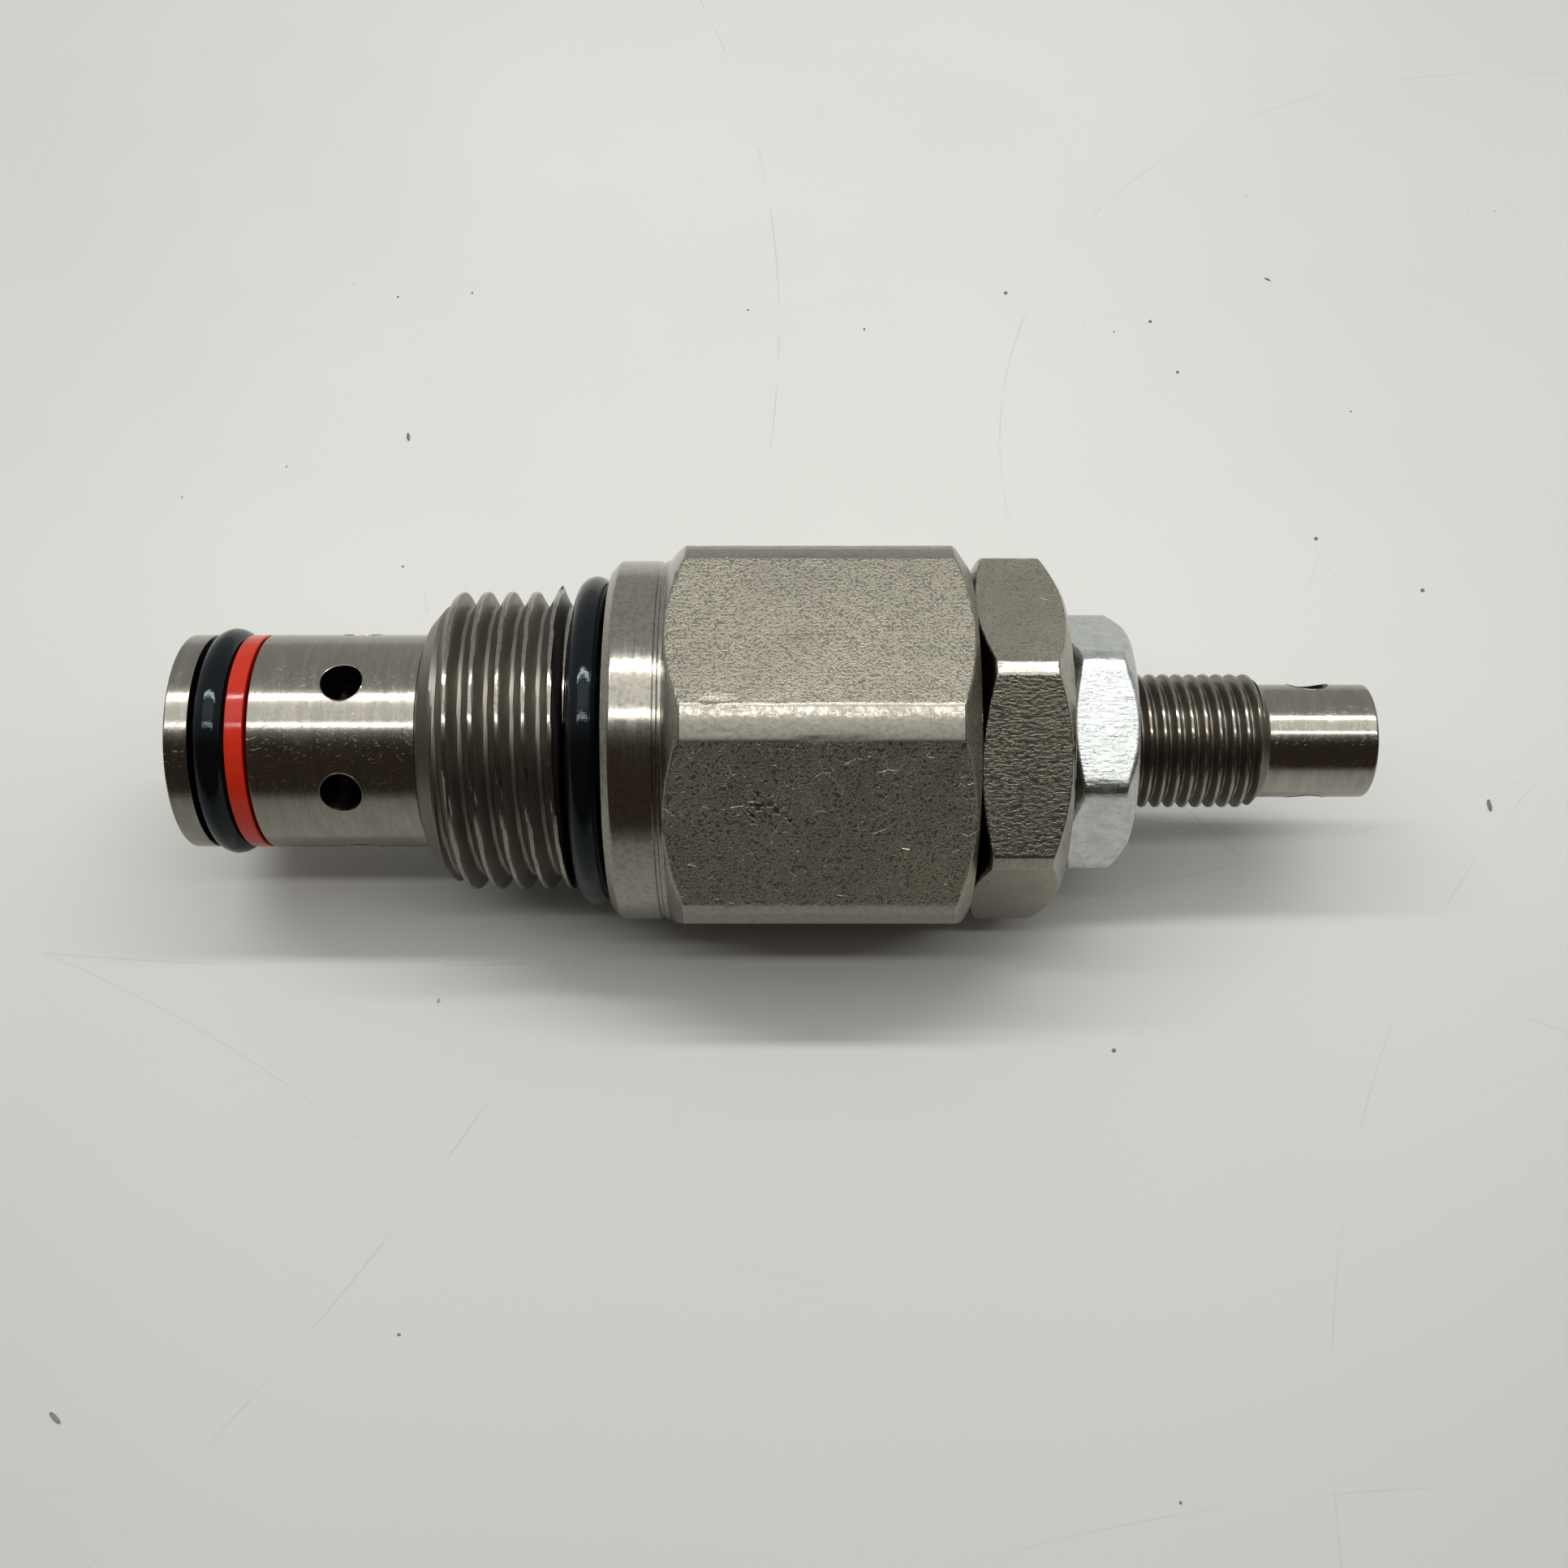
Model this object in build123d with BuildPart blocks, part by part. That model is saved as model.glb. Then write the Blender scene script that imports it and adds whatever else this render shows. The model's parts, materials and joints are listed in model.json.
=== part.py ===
from build123d import *
import os
from math import cos, radians, sin, tan

# Adjustable screw-in pressure relief cartridge valve, as separate pieces.
#
# The valve axis is X. The nose points to -X and the adjusting screw to +X. The origin is
# the centre of the collar face that seats on the cavity, +Z is up, and one flat of the
# large hexagon faces straight down. All sizes are millimetres.

os.makedirs("parts", exist_ok=True)

# Places along the axis
NOSE_END_X = -31.2
PORTS_X = -18.9
ADAPTER_FRONT_X = -13.5
COLLAR_END_X = 3.9
HEX_FRONT_X = 4.15
BODY_REAR_X = 25.9
BONNET_REAR_X = 32.45
NUT_REAR_X = 37.5
SCREW_THREAD_END_X = 47.0
SCREW_END_X = 55.65

# Outside radii and widths
NOSE_R = 7.9
THREAD_R = 11.1
THREAD_PITCH = 25.4 / 14
THREAD_DEPTH = 1.08
THREAD_START_X = -13.716
THREAD_RUN = 11.4
RELIEF_R = 9.75
COLLAR_R = 13.35
SEAT_LAND_OUTER_R = 12.68
SEAT_LAND_INNER_R = 12.3
BODY_HEX_AF = 27.0
BODY_HEX_CORNER_R = 14.92
BONNET_HEX_AF = 24.0
BONNET_HEX_CORNER_R = 13.56
NUT_HEX_AF = 17.0
NUT_HEX_CORNER_R = 9.55
SCREW_R = 4.985
SCREW_PITCH = 1.0
SCREW_DEPTH = 0.6
SCREW_START_X = 26.4
SCREW_RUN = 20.4
PIN_R = 4.21
CROSS_HOLE_R = 1.5
CROSS_HOLE_X = 51.5
SOCKET_AF = 5.0
SOCKET_DEPTH = 2.2

# How the hexagons, ports and cross hole are turned about the axis, in degrees
BONNET_HEX_TURN = -16.8
NUT_HEX_TURN = 27.1
PORT_TURN = 2.65
CROSS_HOLE_TURN = -50.0

# Ports and seal groove of the nose
PORT_COUNT = 6
PORT_R = 1.525
GROOVE_FRONT_X = -29.5
GROOVE_REAR_X = -25.35
GROOVE_R = 6.0

# Inner bores
MOUTH_R = 5.2
MOUTH_END_X = -29.4
SEAT_BORE_R = 4.75
SEAT_WEB_X = -21.6
GUIDE_R = 5.0
SHANK_R = 7.0
SHANK_END_X = -8.5
CHAMBER_R = 7.5
CHAMBER_FRONT_X = -7.5
SPIGOT_R = 10.0
SPIGOT_FRONT_X = 17.5
PLUNGER_BORE_R = 5.65
PLUNGER_BORE_END_X = 27.6
SCREW_CLEARANCE_R = 5.06

# Fits
RUNNING_GAP = 0.03
SEAL_GAP = 0.02

# Main spring
WIRE_R = 1.2
SPRING_MEAN_R = 5.9
SPRING_FRONT_X = -4.0
SPRING_REAR_X = 13.4
SPRING_TURNS = 5

# Where the seam of the turned faces lies on the threaded pieces, in degrees about the
# axis: clear of the place where the thread groove starts, and of the cross hole
BODY_SEAM_TURN = 200.0
SCREW_SEAM_TURN = 182.5


def profile_plane(seam_turn):
    """A plane through the axis, turned about it, that holds a turned piece's outline."""
    turn = radians(seam_turn)
    return Plane((0, 0, 0), x_dir=(1, 0, 0), z_dir=(0, -cos(turn), -sin(turn)))


def turned(name, *outline):
    """A ring or rod turned about X from its closed outline of (x, radius) points."""
    with BuildPart() as piece:
        with BuildSketch(Plane.XZ):
            with BuildLine():
                Polyline(*outline, close=True)
            make_face()
        revolve(axis=Axis.X)
    piece.part.label = name
    return piece


def seal_ring(name, x, inner_r, section):
    """An O-ring about X, given its middle plane, inner radius and cord diameter."""
    with BuildPart() as piece:
        with BuildSketch(Plane.XZ):
            with Locations((x, inner_r + section / 2)):
                Circle(section / 2)
        revolve(axis=Axis.X)
    piece.part.label = name
    return piece


def write(*pieces):
    """Write each finished piece to its own file, named by its label."""
    for piece in pieces:
        export_step(piece.part, f"parts/{piece.part.label}.step")


# Nose cage: sleeve with the seal groove, the side ports and a shank in the adapter
with BuildPart() as cage:
    with BuildSketch(Plane.XZ):
        with BuildLine():
            Polyline(
                (NOSE_END_X, MOUTH_R + 0.3),
                (NOSE_END_X, NOSE_R - 0.15),
                (NOSE_END_X + 0.15, NOSE_R),
                (GROOVE_FRONT_X, NOSE_R),
                (GROOVE_FRONT_X, GROOVE_R),
                (GROOVE_REAR_X, GROOVE_R),
                (GROOVE_REAR_X, NOSE_R),
                (ADAPTER_FRONT_X - 0.05, NOSE_R),
                (ADAPTER_FRONT_X - 0.05, SHANK_R - SEAL_GAP),
                (SHANK_END_X, SHANK_R - SEAL_GAP),
                (SHANK_END_X, GUIDE_R),
                (SEAT_WEB_X + 1.0, GUIDE_R),
                (SEAT_WEB_X + 1.0, 3.9),
                (SEAT_WEB_X, 3.9),
                (SEAT_WEB_X, SEAT_BORE_R),
                (MOUTH_END_X, SEAT_BORE_R),
                (MOUTH_END_X, MOUTH_R),
                (NOSE_END_X + 0.3, MOUTH_R),
                close=True,
            )
        make_face()
    revolve(axis=Axis.X)
    for port in range(PORT_COUNT):
        turn = radians(PORT_TURN + port * 360 / PORT_COUNT)
        outward = (0, -sin(turn), cos(turn))
        with BuildSketch(Plane(origin=(PORTS_X, 0, 0), x_dir=(1, 0, 0), z_dir=outward)):
            Circle(PORT_R)
        extrude(amount=NOSE_R + 1, mode=Mode.SUBTRACT)
cage.part.label = "cage"

# Seat ring, and the slotted ring that holds it against the web of the cage
seat_ring = turned(
    "seat_ring",
    (SEAT_WEB_X - 4.0, 3.0),
    (SEAT_WEB_X - 4.0, SEAT_BORE_R - 0.01),
    (SEAT_WEB_X - 0.01, SEAT_BORE_R - 0.01),
    (SEAT_WEB_X - 0.01, 3.0),
)
RETAINER_FRONT_X = -29.2
with BuildPart() as seat_retainer:
    with BuildSketch(Plane.XZ):
        with BuildLine():
            Polyline(
                (RETAINER_FRONT_X, 3.25),
                (RETAINER_FRONT_X, SEAT_BORE_R - 0.01),
                (SEAT_WEB_X - 4.01, SEAT_BORE_R - 0.01),
                (SEAT_WEB_X - 4.01, 3.25),
                close=True,
            )
        make_face()
    revolve(axis=Axis.X)
    with Locations((RETAINER_FRONT_X, 0, 0)):
        Box(2.0, 12.0, 1.2, mode=Mode.SUBTRACT)
seat_retainer.part.label = "seat_retainer"

# Poppet: cone on the seat, open waist at the ports, guided land, drilled vent
SEAT_R = 3.0
CONE_SLOPE = tan(radians(30))
CONE_TIP_X = SEAT_WEB_X - 2.5
CONE_REAR_X = SEAT_WEB_X + 1.4
SEAT_LIFT_GAP = 0.03
with BuildPart() as poppet:
    with BuildSketch(Plane.XZ):
        with BuildLine():
            Polyline(
                (CONE_TIP_X, 0),
                (CONE_TIP_X, SEAT_R - (2.5 + SEAT_LIFT_GAP) * CONE_SLOPE),
                (CONE_REAR_X, SEAT_R + (1.4 - SEAT_LIFT_GAP) * CONE_SLOPE),
                (-19.4, 3.0),
                (-17.0, 3.0),
                (-16.5, GUIDE_R - RUNNING_GAP),
                (-9.5, GUIDE_R - RUNNING_GAP),
                (-9.5, 3.8),
                (-6.6, 3.8),
                (-6.6, 2.5),
                (-2.5, 2.5),
                (-2.5, 0),
                close=True,
            )
        make_face()
        for groove_x in (-14.6, -12.6):
            with Locations((groove_x, GUIDE_R)):
                Rectangle(0.5, 0.7, mode=Mode.SUBTRACT)
    revolve(axis=Axis.X)
    with BuildSketch(Plane.YZ.offset(-18.2)):
        Circle(0.9)
    extrude(amount=16.0, mode=Mode.SUBTRACT)
    with BuildSketch(Plane.XY):
        with Locations((-18.2, 0)):
            Circle(0.9)
    extrude(amount=4.0, both=True, mode=Mode.SUBTRACT)
poppet.part.label = "poppet"

# Spring seat and shim that ride on the poppet's tail
front_spring_seat = turned(
    "front_spring_seat",
    (-6.58, 2.53),
    (-6.58, 7.0),
    (-6.4, 7.2),
    (-4.8, 7.2),
    (-4.8, 4.4),
    (-1.5, 4.4),
    (-1.5, 2.53),
)
spring_shim = turned(
    "spring_shim", (-4.78, 4.5), (-4.78, 7.1), (SPRING_FRONT_X - 0.02, 7.1), (SPRING_FRONT_X - 0.02, 4.5)
)

# Main spring: round wire, its two ends resting on the shim and the plunger flange
with BuildPart() as main_spring:
    with BuildLine():
        coil_length = SPRING_REAR_X - SPRING_FRONT_X - 2 * WIRE_R
        coil_front = (SPRING_FRONT_X + WIRE_R, 0, 0)
        coil = Helix(coil_length / SPRING_TURNS, coil_length, SPRING_MEAN_R, coil_front, (1, 0, 0))
    with BuildSketch(Plane(origin=coil @ 0, x_dir=(1, 0, 0), z_dir=coil % 0)):
        Circle(WIRE_R)
    sweep(is_frenet=True)
main_spring.part.label = "main_spring"

# Adapter body: mounting thread, O-ring relief, collar, large hexagon and spring chamber
with BuildPart() as valve_body:
    with BuildSketch(Plane.YZ.offset(HEX_FRONT_X)):
        RegularPolygon(BODY_HEX_AF / 2, 6, major_radius=False)
    extrude(amount=BODY_REAR_X - HEX_FRONT_X)
    with BuildSketch(profile_plane(BODY_SEAM_TURN)):
        with BuildLine():
            Polyline(
                (HEX_FRONT_X, 0),
                (HEX_FRONT_X, 13.4),
                (5.5, BODY_HEX_CORNER_R),
                (24.55, BODY_HEX_CORNER_R),
                (BODY_REAR_X, 13.0),
                (BODY_REAR_X, 0),
                close=True,
            )
        make_face()
    revolve(axis=Axis.X, mode=Mode.INTERSECT)
    with BuildSketch(profile_plane(BODY_SEAM_TURN)):
        with BuildLine():
            Polyline(
                (ADAPTER_FRONT_X, SHANK_R),
                (ADAPTER_FRONT_X, NOSE_R + 0.15),
                (ADAPTER_FRONT_X + 0.25, 8.8),
                (-11.3, THREAD_R),
                (-3.1, THREAD_R),
                (-2.7, RELIEF_R),
                (0.1, RELIEF_R),
                (0.1, SEAT_LAND_INNER_R),
                (0, SEAT_LAND_INNER_R),
                (0, SEAT_LAND_OUTER_R),
                (0.65, COLLAR_R),
                (COLLAR_END_X, COLLAR_R),
                (COLLAR_END_X, COLLAR_R - 0.2),
                (HEX_FRONT_X + 0.1, COLLAR_R - 0.2),
                (HEX_FRONT_X + 0.1, SHANK_R),
                close=True,
            )
        make_face()
    revolve(axis=Axis.X)
    with BuildSketch(profile_plane(BODY_SEAM_TURN)):
        with BuildLine():
            Polyline(
                (ADAPTER_FRONT_X, 0),
                (ADAPTER_FRONT_X, SHANK_R),
                (CHAMBER_FRONT_X, SHANK_R),
                (CHAMBER_FRONT_X, CHAMBER_R),
                (SPIGOT_FRONT_X - 0.2, CHAMBER_R),
                (SPIGOT_FRONT_X - 0.2, SPIGOT_R),
                (BODY_REAR_X, SPIGOT_R),
                (BODY_REAR_X, 0),
                close=True,
            )
        make_face()
    revolve(axis=Axis.X, mode=Mode.SUBTRACT)
    with BuildLine():
        groove_run = Helix(THREAD_PITCH, THREAD_RUN, THREAD_R, (THREAD_START_X, 0, 0), (1, 0, 0))
    with BuildSketch(Plane(origin=groove_run @ 0, x_dir=(1, 0, 0), z_dir=groove_run % 0)):
        with BuildLine():
            root = 0.15
            mouth = root + (THREAD_DEPTH + 0.1) * tan(radians(30))
            Polyline(
                (-mouth, 0.1), (-root, -THREAD_DEPTH), (root, -THREAD_DEPTH), (mouth, 0.1), close=True
            )
        make_face()
    sweep(is_frenet=True, mode=Mode.SUBTRACT)
valve_body.part.label = "valve_body"


# Bonnet: small hexagon, spigot in the body, plunger bore and the screw's bore
BONNET_O_RING_X = 24.3
with BuildPart() as bonnet:
    with BuildSketch(Plane.YZ.offset(BODY_REAR_X)):
        RegularPolygon(BONNET_HEX_AF / 2, 6, major_radius=False, rotation=BONNET_HEX_TURN)
    extrude(amount=BONNET_REAR_X - BODY_REAR_X)
    with BuildSketch(Plane.XZ):
        with BuildLine():
            Polyline(
                (BODY_REAR_X, 0),
                (BODY_REAR_X, 11.8),
                (26.9, BONNET_HEX_CORNER_R),
                (31.1, BONNET_HEX_CORNER_R),
                (BONNET_REAR_X, 11.6),
                (BONNET_REAR_X, 0),
                close=True,
            )
        make_face()
    revolve(axis=Axis.X, mode=Mode.INTERSECT)
    with BuildSketch(Plane.XZ):
        with BuildLine():
            Polyline(
                (SPIGOT_FRONT_X, 0),
                (SPIGOT_FRONT_X, SPIGOT_R - 0.8),
                (SPIGOT_FRONT_X + 0.8, SPIGOT_R - SEAL_GAP),
                (BONNET_O_RING_X - 0.85, SPIGOT_R - SEAL_GAP),
                (BONNET_O_RING_X - 0.85, 8.6),
                (BONNET_O_RING_X + 0.85, 8.6),
                (BONNET_O_RING_X + 0.85, SPIGOT_R - SEAL_GAP),
                (BODY_REAR_X + 0.1, SPIGOT_R - SEAL_GAP),
                (BODY_REAR_X + 0.1, 0),
                close=True,
            )
        make_face()
    revolve(axis=Axis.X)
    with BuildSketch(Plane.XZ):
        with BuildLine():
            Polyline(
                (SPIGOT_FRONT_X, 0),
                (SPIGOT_FRONT_X, PLUNGER_BORE_R + 0.4),
                (SPIGOT_FRONT_X + 0.4, PLUNGER_BORE_R),
                (PLUNGER_BORE_END_X, PLUNGER_BORE_R),
                (PLUNGER_BORE_END_X, SCREW_CLEARANCE_R),
                (BONNET_REAR_X - 0.4, SCREW_CLEARANCE_R),
                (BONNET_REAR_X, SCREW_CLEARANCE_R + 0.4),
                (BONNET_REAR_X, 0),
                close=True,
            )
        make_face()
    revolve(axis=Axis.X, mode=Mode.SUBTRACT)
bonnet.part.label = "bonnet"

# Adjusting plunger: rear spring seat, sealed piston and the pocket for the thrust ball
PLUNGER_REAR_X = 23.2
PLUNGER_GROOVE_X = (19.9, 22.3)
BALL_R = 2.0
BALL_X = 22.6
with BuildPart() as adjusting_plunger:
    with BuildSketch(Plane.XZ):
        with BuildLine():
            Polyline(
                (10.4, 0),
                (10.4, 4.2),
                (10.6, 4.4),
                (SPRING_REAR_X + 0.02, 4.4),
                (SPRING_REAR_X + 0.02, 7.2),
                (15.6, 7.2),
                (15.6, PLUNGER_BORE_R - RUNNING_GAP),
                (PLUNGER_GROOVE_X[0], PLUNGER_BORE_R - RUNNING_GAP),
                (PLUNGER_GROOVE_X[0], 4.3),
                (PLUNGER_GROOVE_X[1], 4.3),
                (PLUNGER_GROOVE_X[1], PLUNGER_BORE_R - RUNNING_GAP),
                (PLUNGER_REAR_X, PLUNGER_BORE_R - RUNNING_GAP),
                (PLUNGER_REAR_X, BALL_R + 0.05),
                (BALL_X - BALL_R - 0.02, BALL_R + 0.05),
                (BALL_X - BALL_R - 0.02, 0),
                close=True,
            )
        make_face()
    revolve(axis=Axis.X)
adjusting_plunger.part.label = "adjusting_plunger"

with BuildPart() as thrust_ball:
    with Locations((BALL_X, 0, 0)):
        Sphere(BALL_R)
thrust_ball.part.label = "thrust_ball"

plunger_o_ring = seal_ring("plunger_o_ring", 20.65, 4.32, 1.26)
plunger_backup_ring = turned(
    "plunger_backup_ring", (21.4, 4.32), (21.4, 5.58), (22.25, 5.58), (22.25, 4.32)
)

# Adjusting screw: fine thread, smooth end with a cross hole and a hexagon socket
SCREW_FRONT_X = BALL_X + BALL_R + 0.02
STOP_RING_X = (25.2, 26.0)
STOP_GROOVE_R = 3.6
THREAD_FRONT_X = 26.9
with BuildPart() as adjusting_screw:
    with BuildSketch(profile_plane(SCREW_SEAM_TURN)):
        with BuildLine():
            Polyline(
                (SCREW_FRONT_X, 0),
                (SCREW_FRONT_X, 4.0),
                (STOP_RING_X[0] - 0.02, 4.0),
                (STOP_RING_X[0] - 0.02, STOP_GROOVE_R),
                (STOP_RING_X[1] + 0.02, STOP_GROOVE_R),
                (STOP_RING_X[1] + 0.02, 4.0),
                (THREAD_FRONT_X - 0.4, 4.0),
                (THREAD_FRONT_X + 0.6, SCREW_R),
                (SCREW_THREAD_END_X - 0.1, SCREW_R),
                (SCREW_THREAD_END_X + 0.7, PIN_R),
                (SCREW_END_X - 0.2, PIN_R),
                (SCREW_END_X, PIN_R - 0.2),
                (SCREW_END_X, 0),
                close=True,
            )
        make_face()
    revolve(axis=Axis.X)
    with BuildLine():
        screw_run = Helix(SCREW_PITCH, SCREW_RUN, SCREW_R, (SCREW_START_X, 0, 0), (1, 0, 0))
    with BuildSketch(Plane(origin=screw_run @ 0, x_dir=(1, 0, 0), z_dir=screw_run % 0)):
        with BuildLine():
            root = 0.06
            mouth = root + (SCREW_DEPTH + 0.06) * tan(radians(30))
            Polyline(
                (-mouth, 0.06), (-root, -SCREW_DEPTH), (root, -SCREW_DEPTH), (mouth, 0.06), close=True
            )
        make_face()
    sweep(is_frenet=True, mode=Mode.SUBTRACT)
    with BuildSketch(Plane.YZ.offset(SCREW_END_X)):
        RegularPolygon(SOCKET_AF / 2, 6, major_radius=False)
    extrude(amount=-SOCKET_DEPTH, mode=Mode.SUBTRACT)
    across = (0, -sin(radians(CROSS_HOLE_TURN)), cos(radians(CROSS_HOLE_TURN)))
    with BuildSketch(Plane(origin=(CROSS_HOLE_X, 0, 0), x_dir=(1, 0, 0), z_dir=across)):
        Circle(CROSS_HOLE_R)
    extrude(amount=PIN_R + 1, both=True, mode=Mode.SUBTRACT)
adjusting_screw.part.label = "adjusting_screw"

# Snap ring that stops the screw from backing out of the bonnet
with BuildPart() as screw_stop_ring:
    with BuildSketch(Plane.YZ.offset(STOP_RING_X[0])):
        Circle(5.4)
        Circle(STOP_GROOVE_R + 0.02, mode=Mode.SUBTRACT)
        with Locations((0, -5.0)):
            Rectangle(3.0, 6.0, mode=Mode.SUBTRACT)
    extrude(amount=STOP_RING_X[1] - STOP_RING_X[0])
screw_stop_ring.part.label = "screw_stop_ring"

# Jam nut: both faces chamfered, countersunk bore
with BuildPart() as jam_nut:
    with BuildSketch(Plane.YZ.offset(BONNET_REAR_X + 0.02)):
        RegularPolygon(NUT_HEX_AF / 2, 6, major_radius=False, rotation=NUT_HEX_TURN)
    extrude(amount=NUT_REAR_X - BONNET_REAR_X - 0.02)
    with BuildSketch(Plane.XZ):
        with BuildLine():
            Polyline(
                (BONNET_REAR_X, 5.4),
                (BONNET_REAR_X, 7.75),
                (33.5, NUT_HEX_CORNER_R),
                (36.5, NUT_HEX_CORNER_R),
                (NUT_REAR_X, 8.45),
                (NUT_REAR_X, SCREW_CLEARANCE_R + 0.5),
                (NUT_REAR_X - 0.5, SCREW_CLEARANCE_R),
                (BONNET_REAR_X + 0.4, SCREW_CLEARANCE_R),
                close=True,
            )
        make_face()
    revolve(axis=Axis.X, mode=Mode.INTERSECT)
jam_nut.part.label = "jam_nut"

# Seals
nose_o_ring = seal_ring("nose_o_ring", -28.15, GROOVE_R + SEAL_GAP, 2.36)
nose_backup_ring = turned(
    "nose_backup_ring",
    (-26.92, GROOVE_R + SEAL_GAP),
    (-26.92, NOSE_R),
    (-25.62, NOSE_R),
    (-25.62, GROOVE_R + SEAL_GAP),
)
body_o_ring = seal_ring("body_o_ring", -1.28, RELIEF_R + SEAL_GAP, 2.46)
bonnet_o_ring = seal_ring("bonnet_o_ring", BONNET_O_RING_X, 8.62, 1.34)

write(cage, seat_ring, seat_retainer, nose_o_ring, nose_backup_ring, poppet, front_spring_seat)
write(spring_shim, main_spring, valve_body, body_o_ring, bonnet, bonnet_o_ring, adjusting_plunger)
write(plunger_o_ring, plunger_backup_ring, thrust_ball, adjusting_screw, screw_stop_ring, jam_nut)
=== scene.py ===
import json
import math

import bmesh
import bpy
import numpy as np
from bpy.props import FloatProperty, FloatVectorProperty, IntProperty, PointerProperty
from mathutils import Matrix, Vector


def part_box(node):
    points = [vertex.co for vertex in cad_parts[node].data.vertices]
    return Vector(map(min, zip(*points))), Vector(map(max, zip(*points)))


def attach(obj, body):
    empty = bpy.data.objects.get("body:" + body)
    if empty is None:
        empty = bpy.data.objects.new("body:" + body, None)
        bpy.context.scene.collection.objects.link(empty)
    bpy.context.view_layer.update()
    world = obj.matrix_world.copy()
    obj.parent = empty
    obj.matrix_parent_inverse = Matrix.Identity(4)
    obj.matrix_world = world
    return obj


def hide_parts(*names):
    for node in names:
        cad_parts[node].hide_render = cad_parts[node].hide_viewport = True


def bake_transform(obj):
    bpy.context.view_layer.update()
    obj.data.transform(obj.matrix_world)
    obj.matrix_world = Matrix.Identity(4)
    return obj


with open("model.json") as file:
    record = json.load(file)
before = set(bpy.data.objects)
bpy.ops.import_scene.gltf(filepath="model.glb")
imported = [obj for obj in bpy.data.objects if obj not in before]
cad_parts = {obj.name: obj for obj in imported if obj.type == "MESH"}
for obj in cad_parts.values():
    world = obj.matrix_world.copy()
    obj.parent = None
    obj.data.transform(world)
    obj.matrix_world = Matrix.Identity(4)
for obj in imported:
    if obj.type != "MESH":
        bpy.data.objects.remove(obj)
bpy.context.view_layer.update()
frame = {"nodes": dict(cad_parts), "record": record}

bl_info = {
    "name": "Relief Cartridge Valve",
    "version": (1, 0, 0),
    "blender": (4, 5, 0),
    "location": "3D View > Sidebar > Valve",
    "description": "Builds the finished pieces of a screw-in relief cartridge valve",
    "category": "Object",
}

MM = 0.001
TURN = 2 * math.pi
SIXTH = math.pi / 3
ALONG_X = (0.0, math.pi / 2, 0.0)
THREAD_FLANK = math.radians(30)


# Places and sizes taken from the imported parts, in millimetres

def spans(node):
    """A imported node's lowest and highest corners, in millimetres."""
    low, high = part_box(node)
    return [c / MM for c in low], [c / MM for c in high]


CAGE_LOW, CAGE_HIGH = spans("cage")
BODY_LOW, BODY_HIGH = spans("valve_body")
BONNET_LOW, BONNET_HIGH = spans("bonnet")
NUT_LOW, NUT_HIGH = spans("jam_nut")
SCREW_LOW, SCREW_HIGH = spans("adjusting_screw")
SPRING_LOW, SPRING_HIGH = spans("main_spring")
BACKUP_LOW, BACKUP_HIGH = spans("nose_backup_ring")
NOSE_RING_LOW, NOSE_RING_HIGH = spans("nose_o_ring")
BODY_RING_LOW, BODY_RING_HIGH = spans("body_o_ring")
FLOOR_Z = BODY_LOW[2]
MIDDLE_X = 12.5

# Places along the axis and radii of the turned outlines, in millimetres
SEAL_GROOVE = (-29.5, -25.35)
MOUTH_FLOOR = -29.4
SEAT_BORE_END = -21.6
SEAT_STEP = 3.9
SPRING_SIDE = -20.6
SPRING_SIDE_BORE = 5.0
CAGE_SHANK = (-13.55, 6.98)
BACKUP_BORE = 6.02
THREAD_RUN = (-11.25, -3.1)
THREAD_CUT = (-13.3, -2.2)
RELIEF_START = -2.7
LAND_STEP = 0.1
LAND_RADII = (12.3, 12.68)
COLLAR_FRONT = 0.65
COLLAR_LINE = (3.65, 3.85, 0.13)
COLLAR_REAR = 4.2
BODY_FLATS = (5.5, 24.55)
SPIGOT_BORE = (17.3, 10.0)
SPRING_BORE = (-7.5, 7.5)
SHANK_BORE = 7.0
SPIGOT = 9.98
BONNET_GROOVE = (23.45, 25.15, 8.6)
BONNET_FLATS = (26.9, 31.1)
PLUNGER_BORE = (27.6, 5.65)
SCREW_BORE = 5.06
NUT_FLATS = (33.5, 36.5)
STOP_GROOVE = (25.18, 26.02, 3.6)
SCREW_TAIL = 4.0
SCREW_THREAD_RUN = (27.5, 46.9)
PIN_START = 47.7
SOCKET_DEPTH = 2.2
SOCKET_CORNER = 2.9
STAIN_PLACE = (11.6, -10.8, 8.3)
BURR_PLACE = -4.05
BURR_TURN = 0.93


def length(name, description, default_mm):
    """A length property, given in millimetres and kept in metres."""
    return FloatProperty(
        name=name, description=description, default=default_mm * MM, min=0.0, unit="LENGTH", precision=5
    )


def place(name, description, default_mm):
    """A place along the valve axis, given in millimetres and kept in metres."""
    return FloatProperty(
        name=name, description=description, default=default_mm * MM, unit="LENGTH", precision=5
    )


def colour(name, description, default):
    """A colour property."""
    return FloatVectorProperty(
        name=name, description=description, default=default, size=3, min=0.0, max=1.0, subtype="COLOR"
    )


def angle(name, description, degrees):
    """An angle property, given in degrees."""
    return FloatProperty(
        name=name, description=description, default=math.radians(degrees), subtype="ANGLE"
    )


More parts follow.
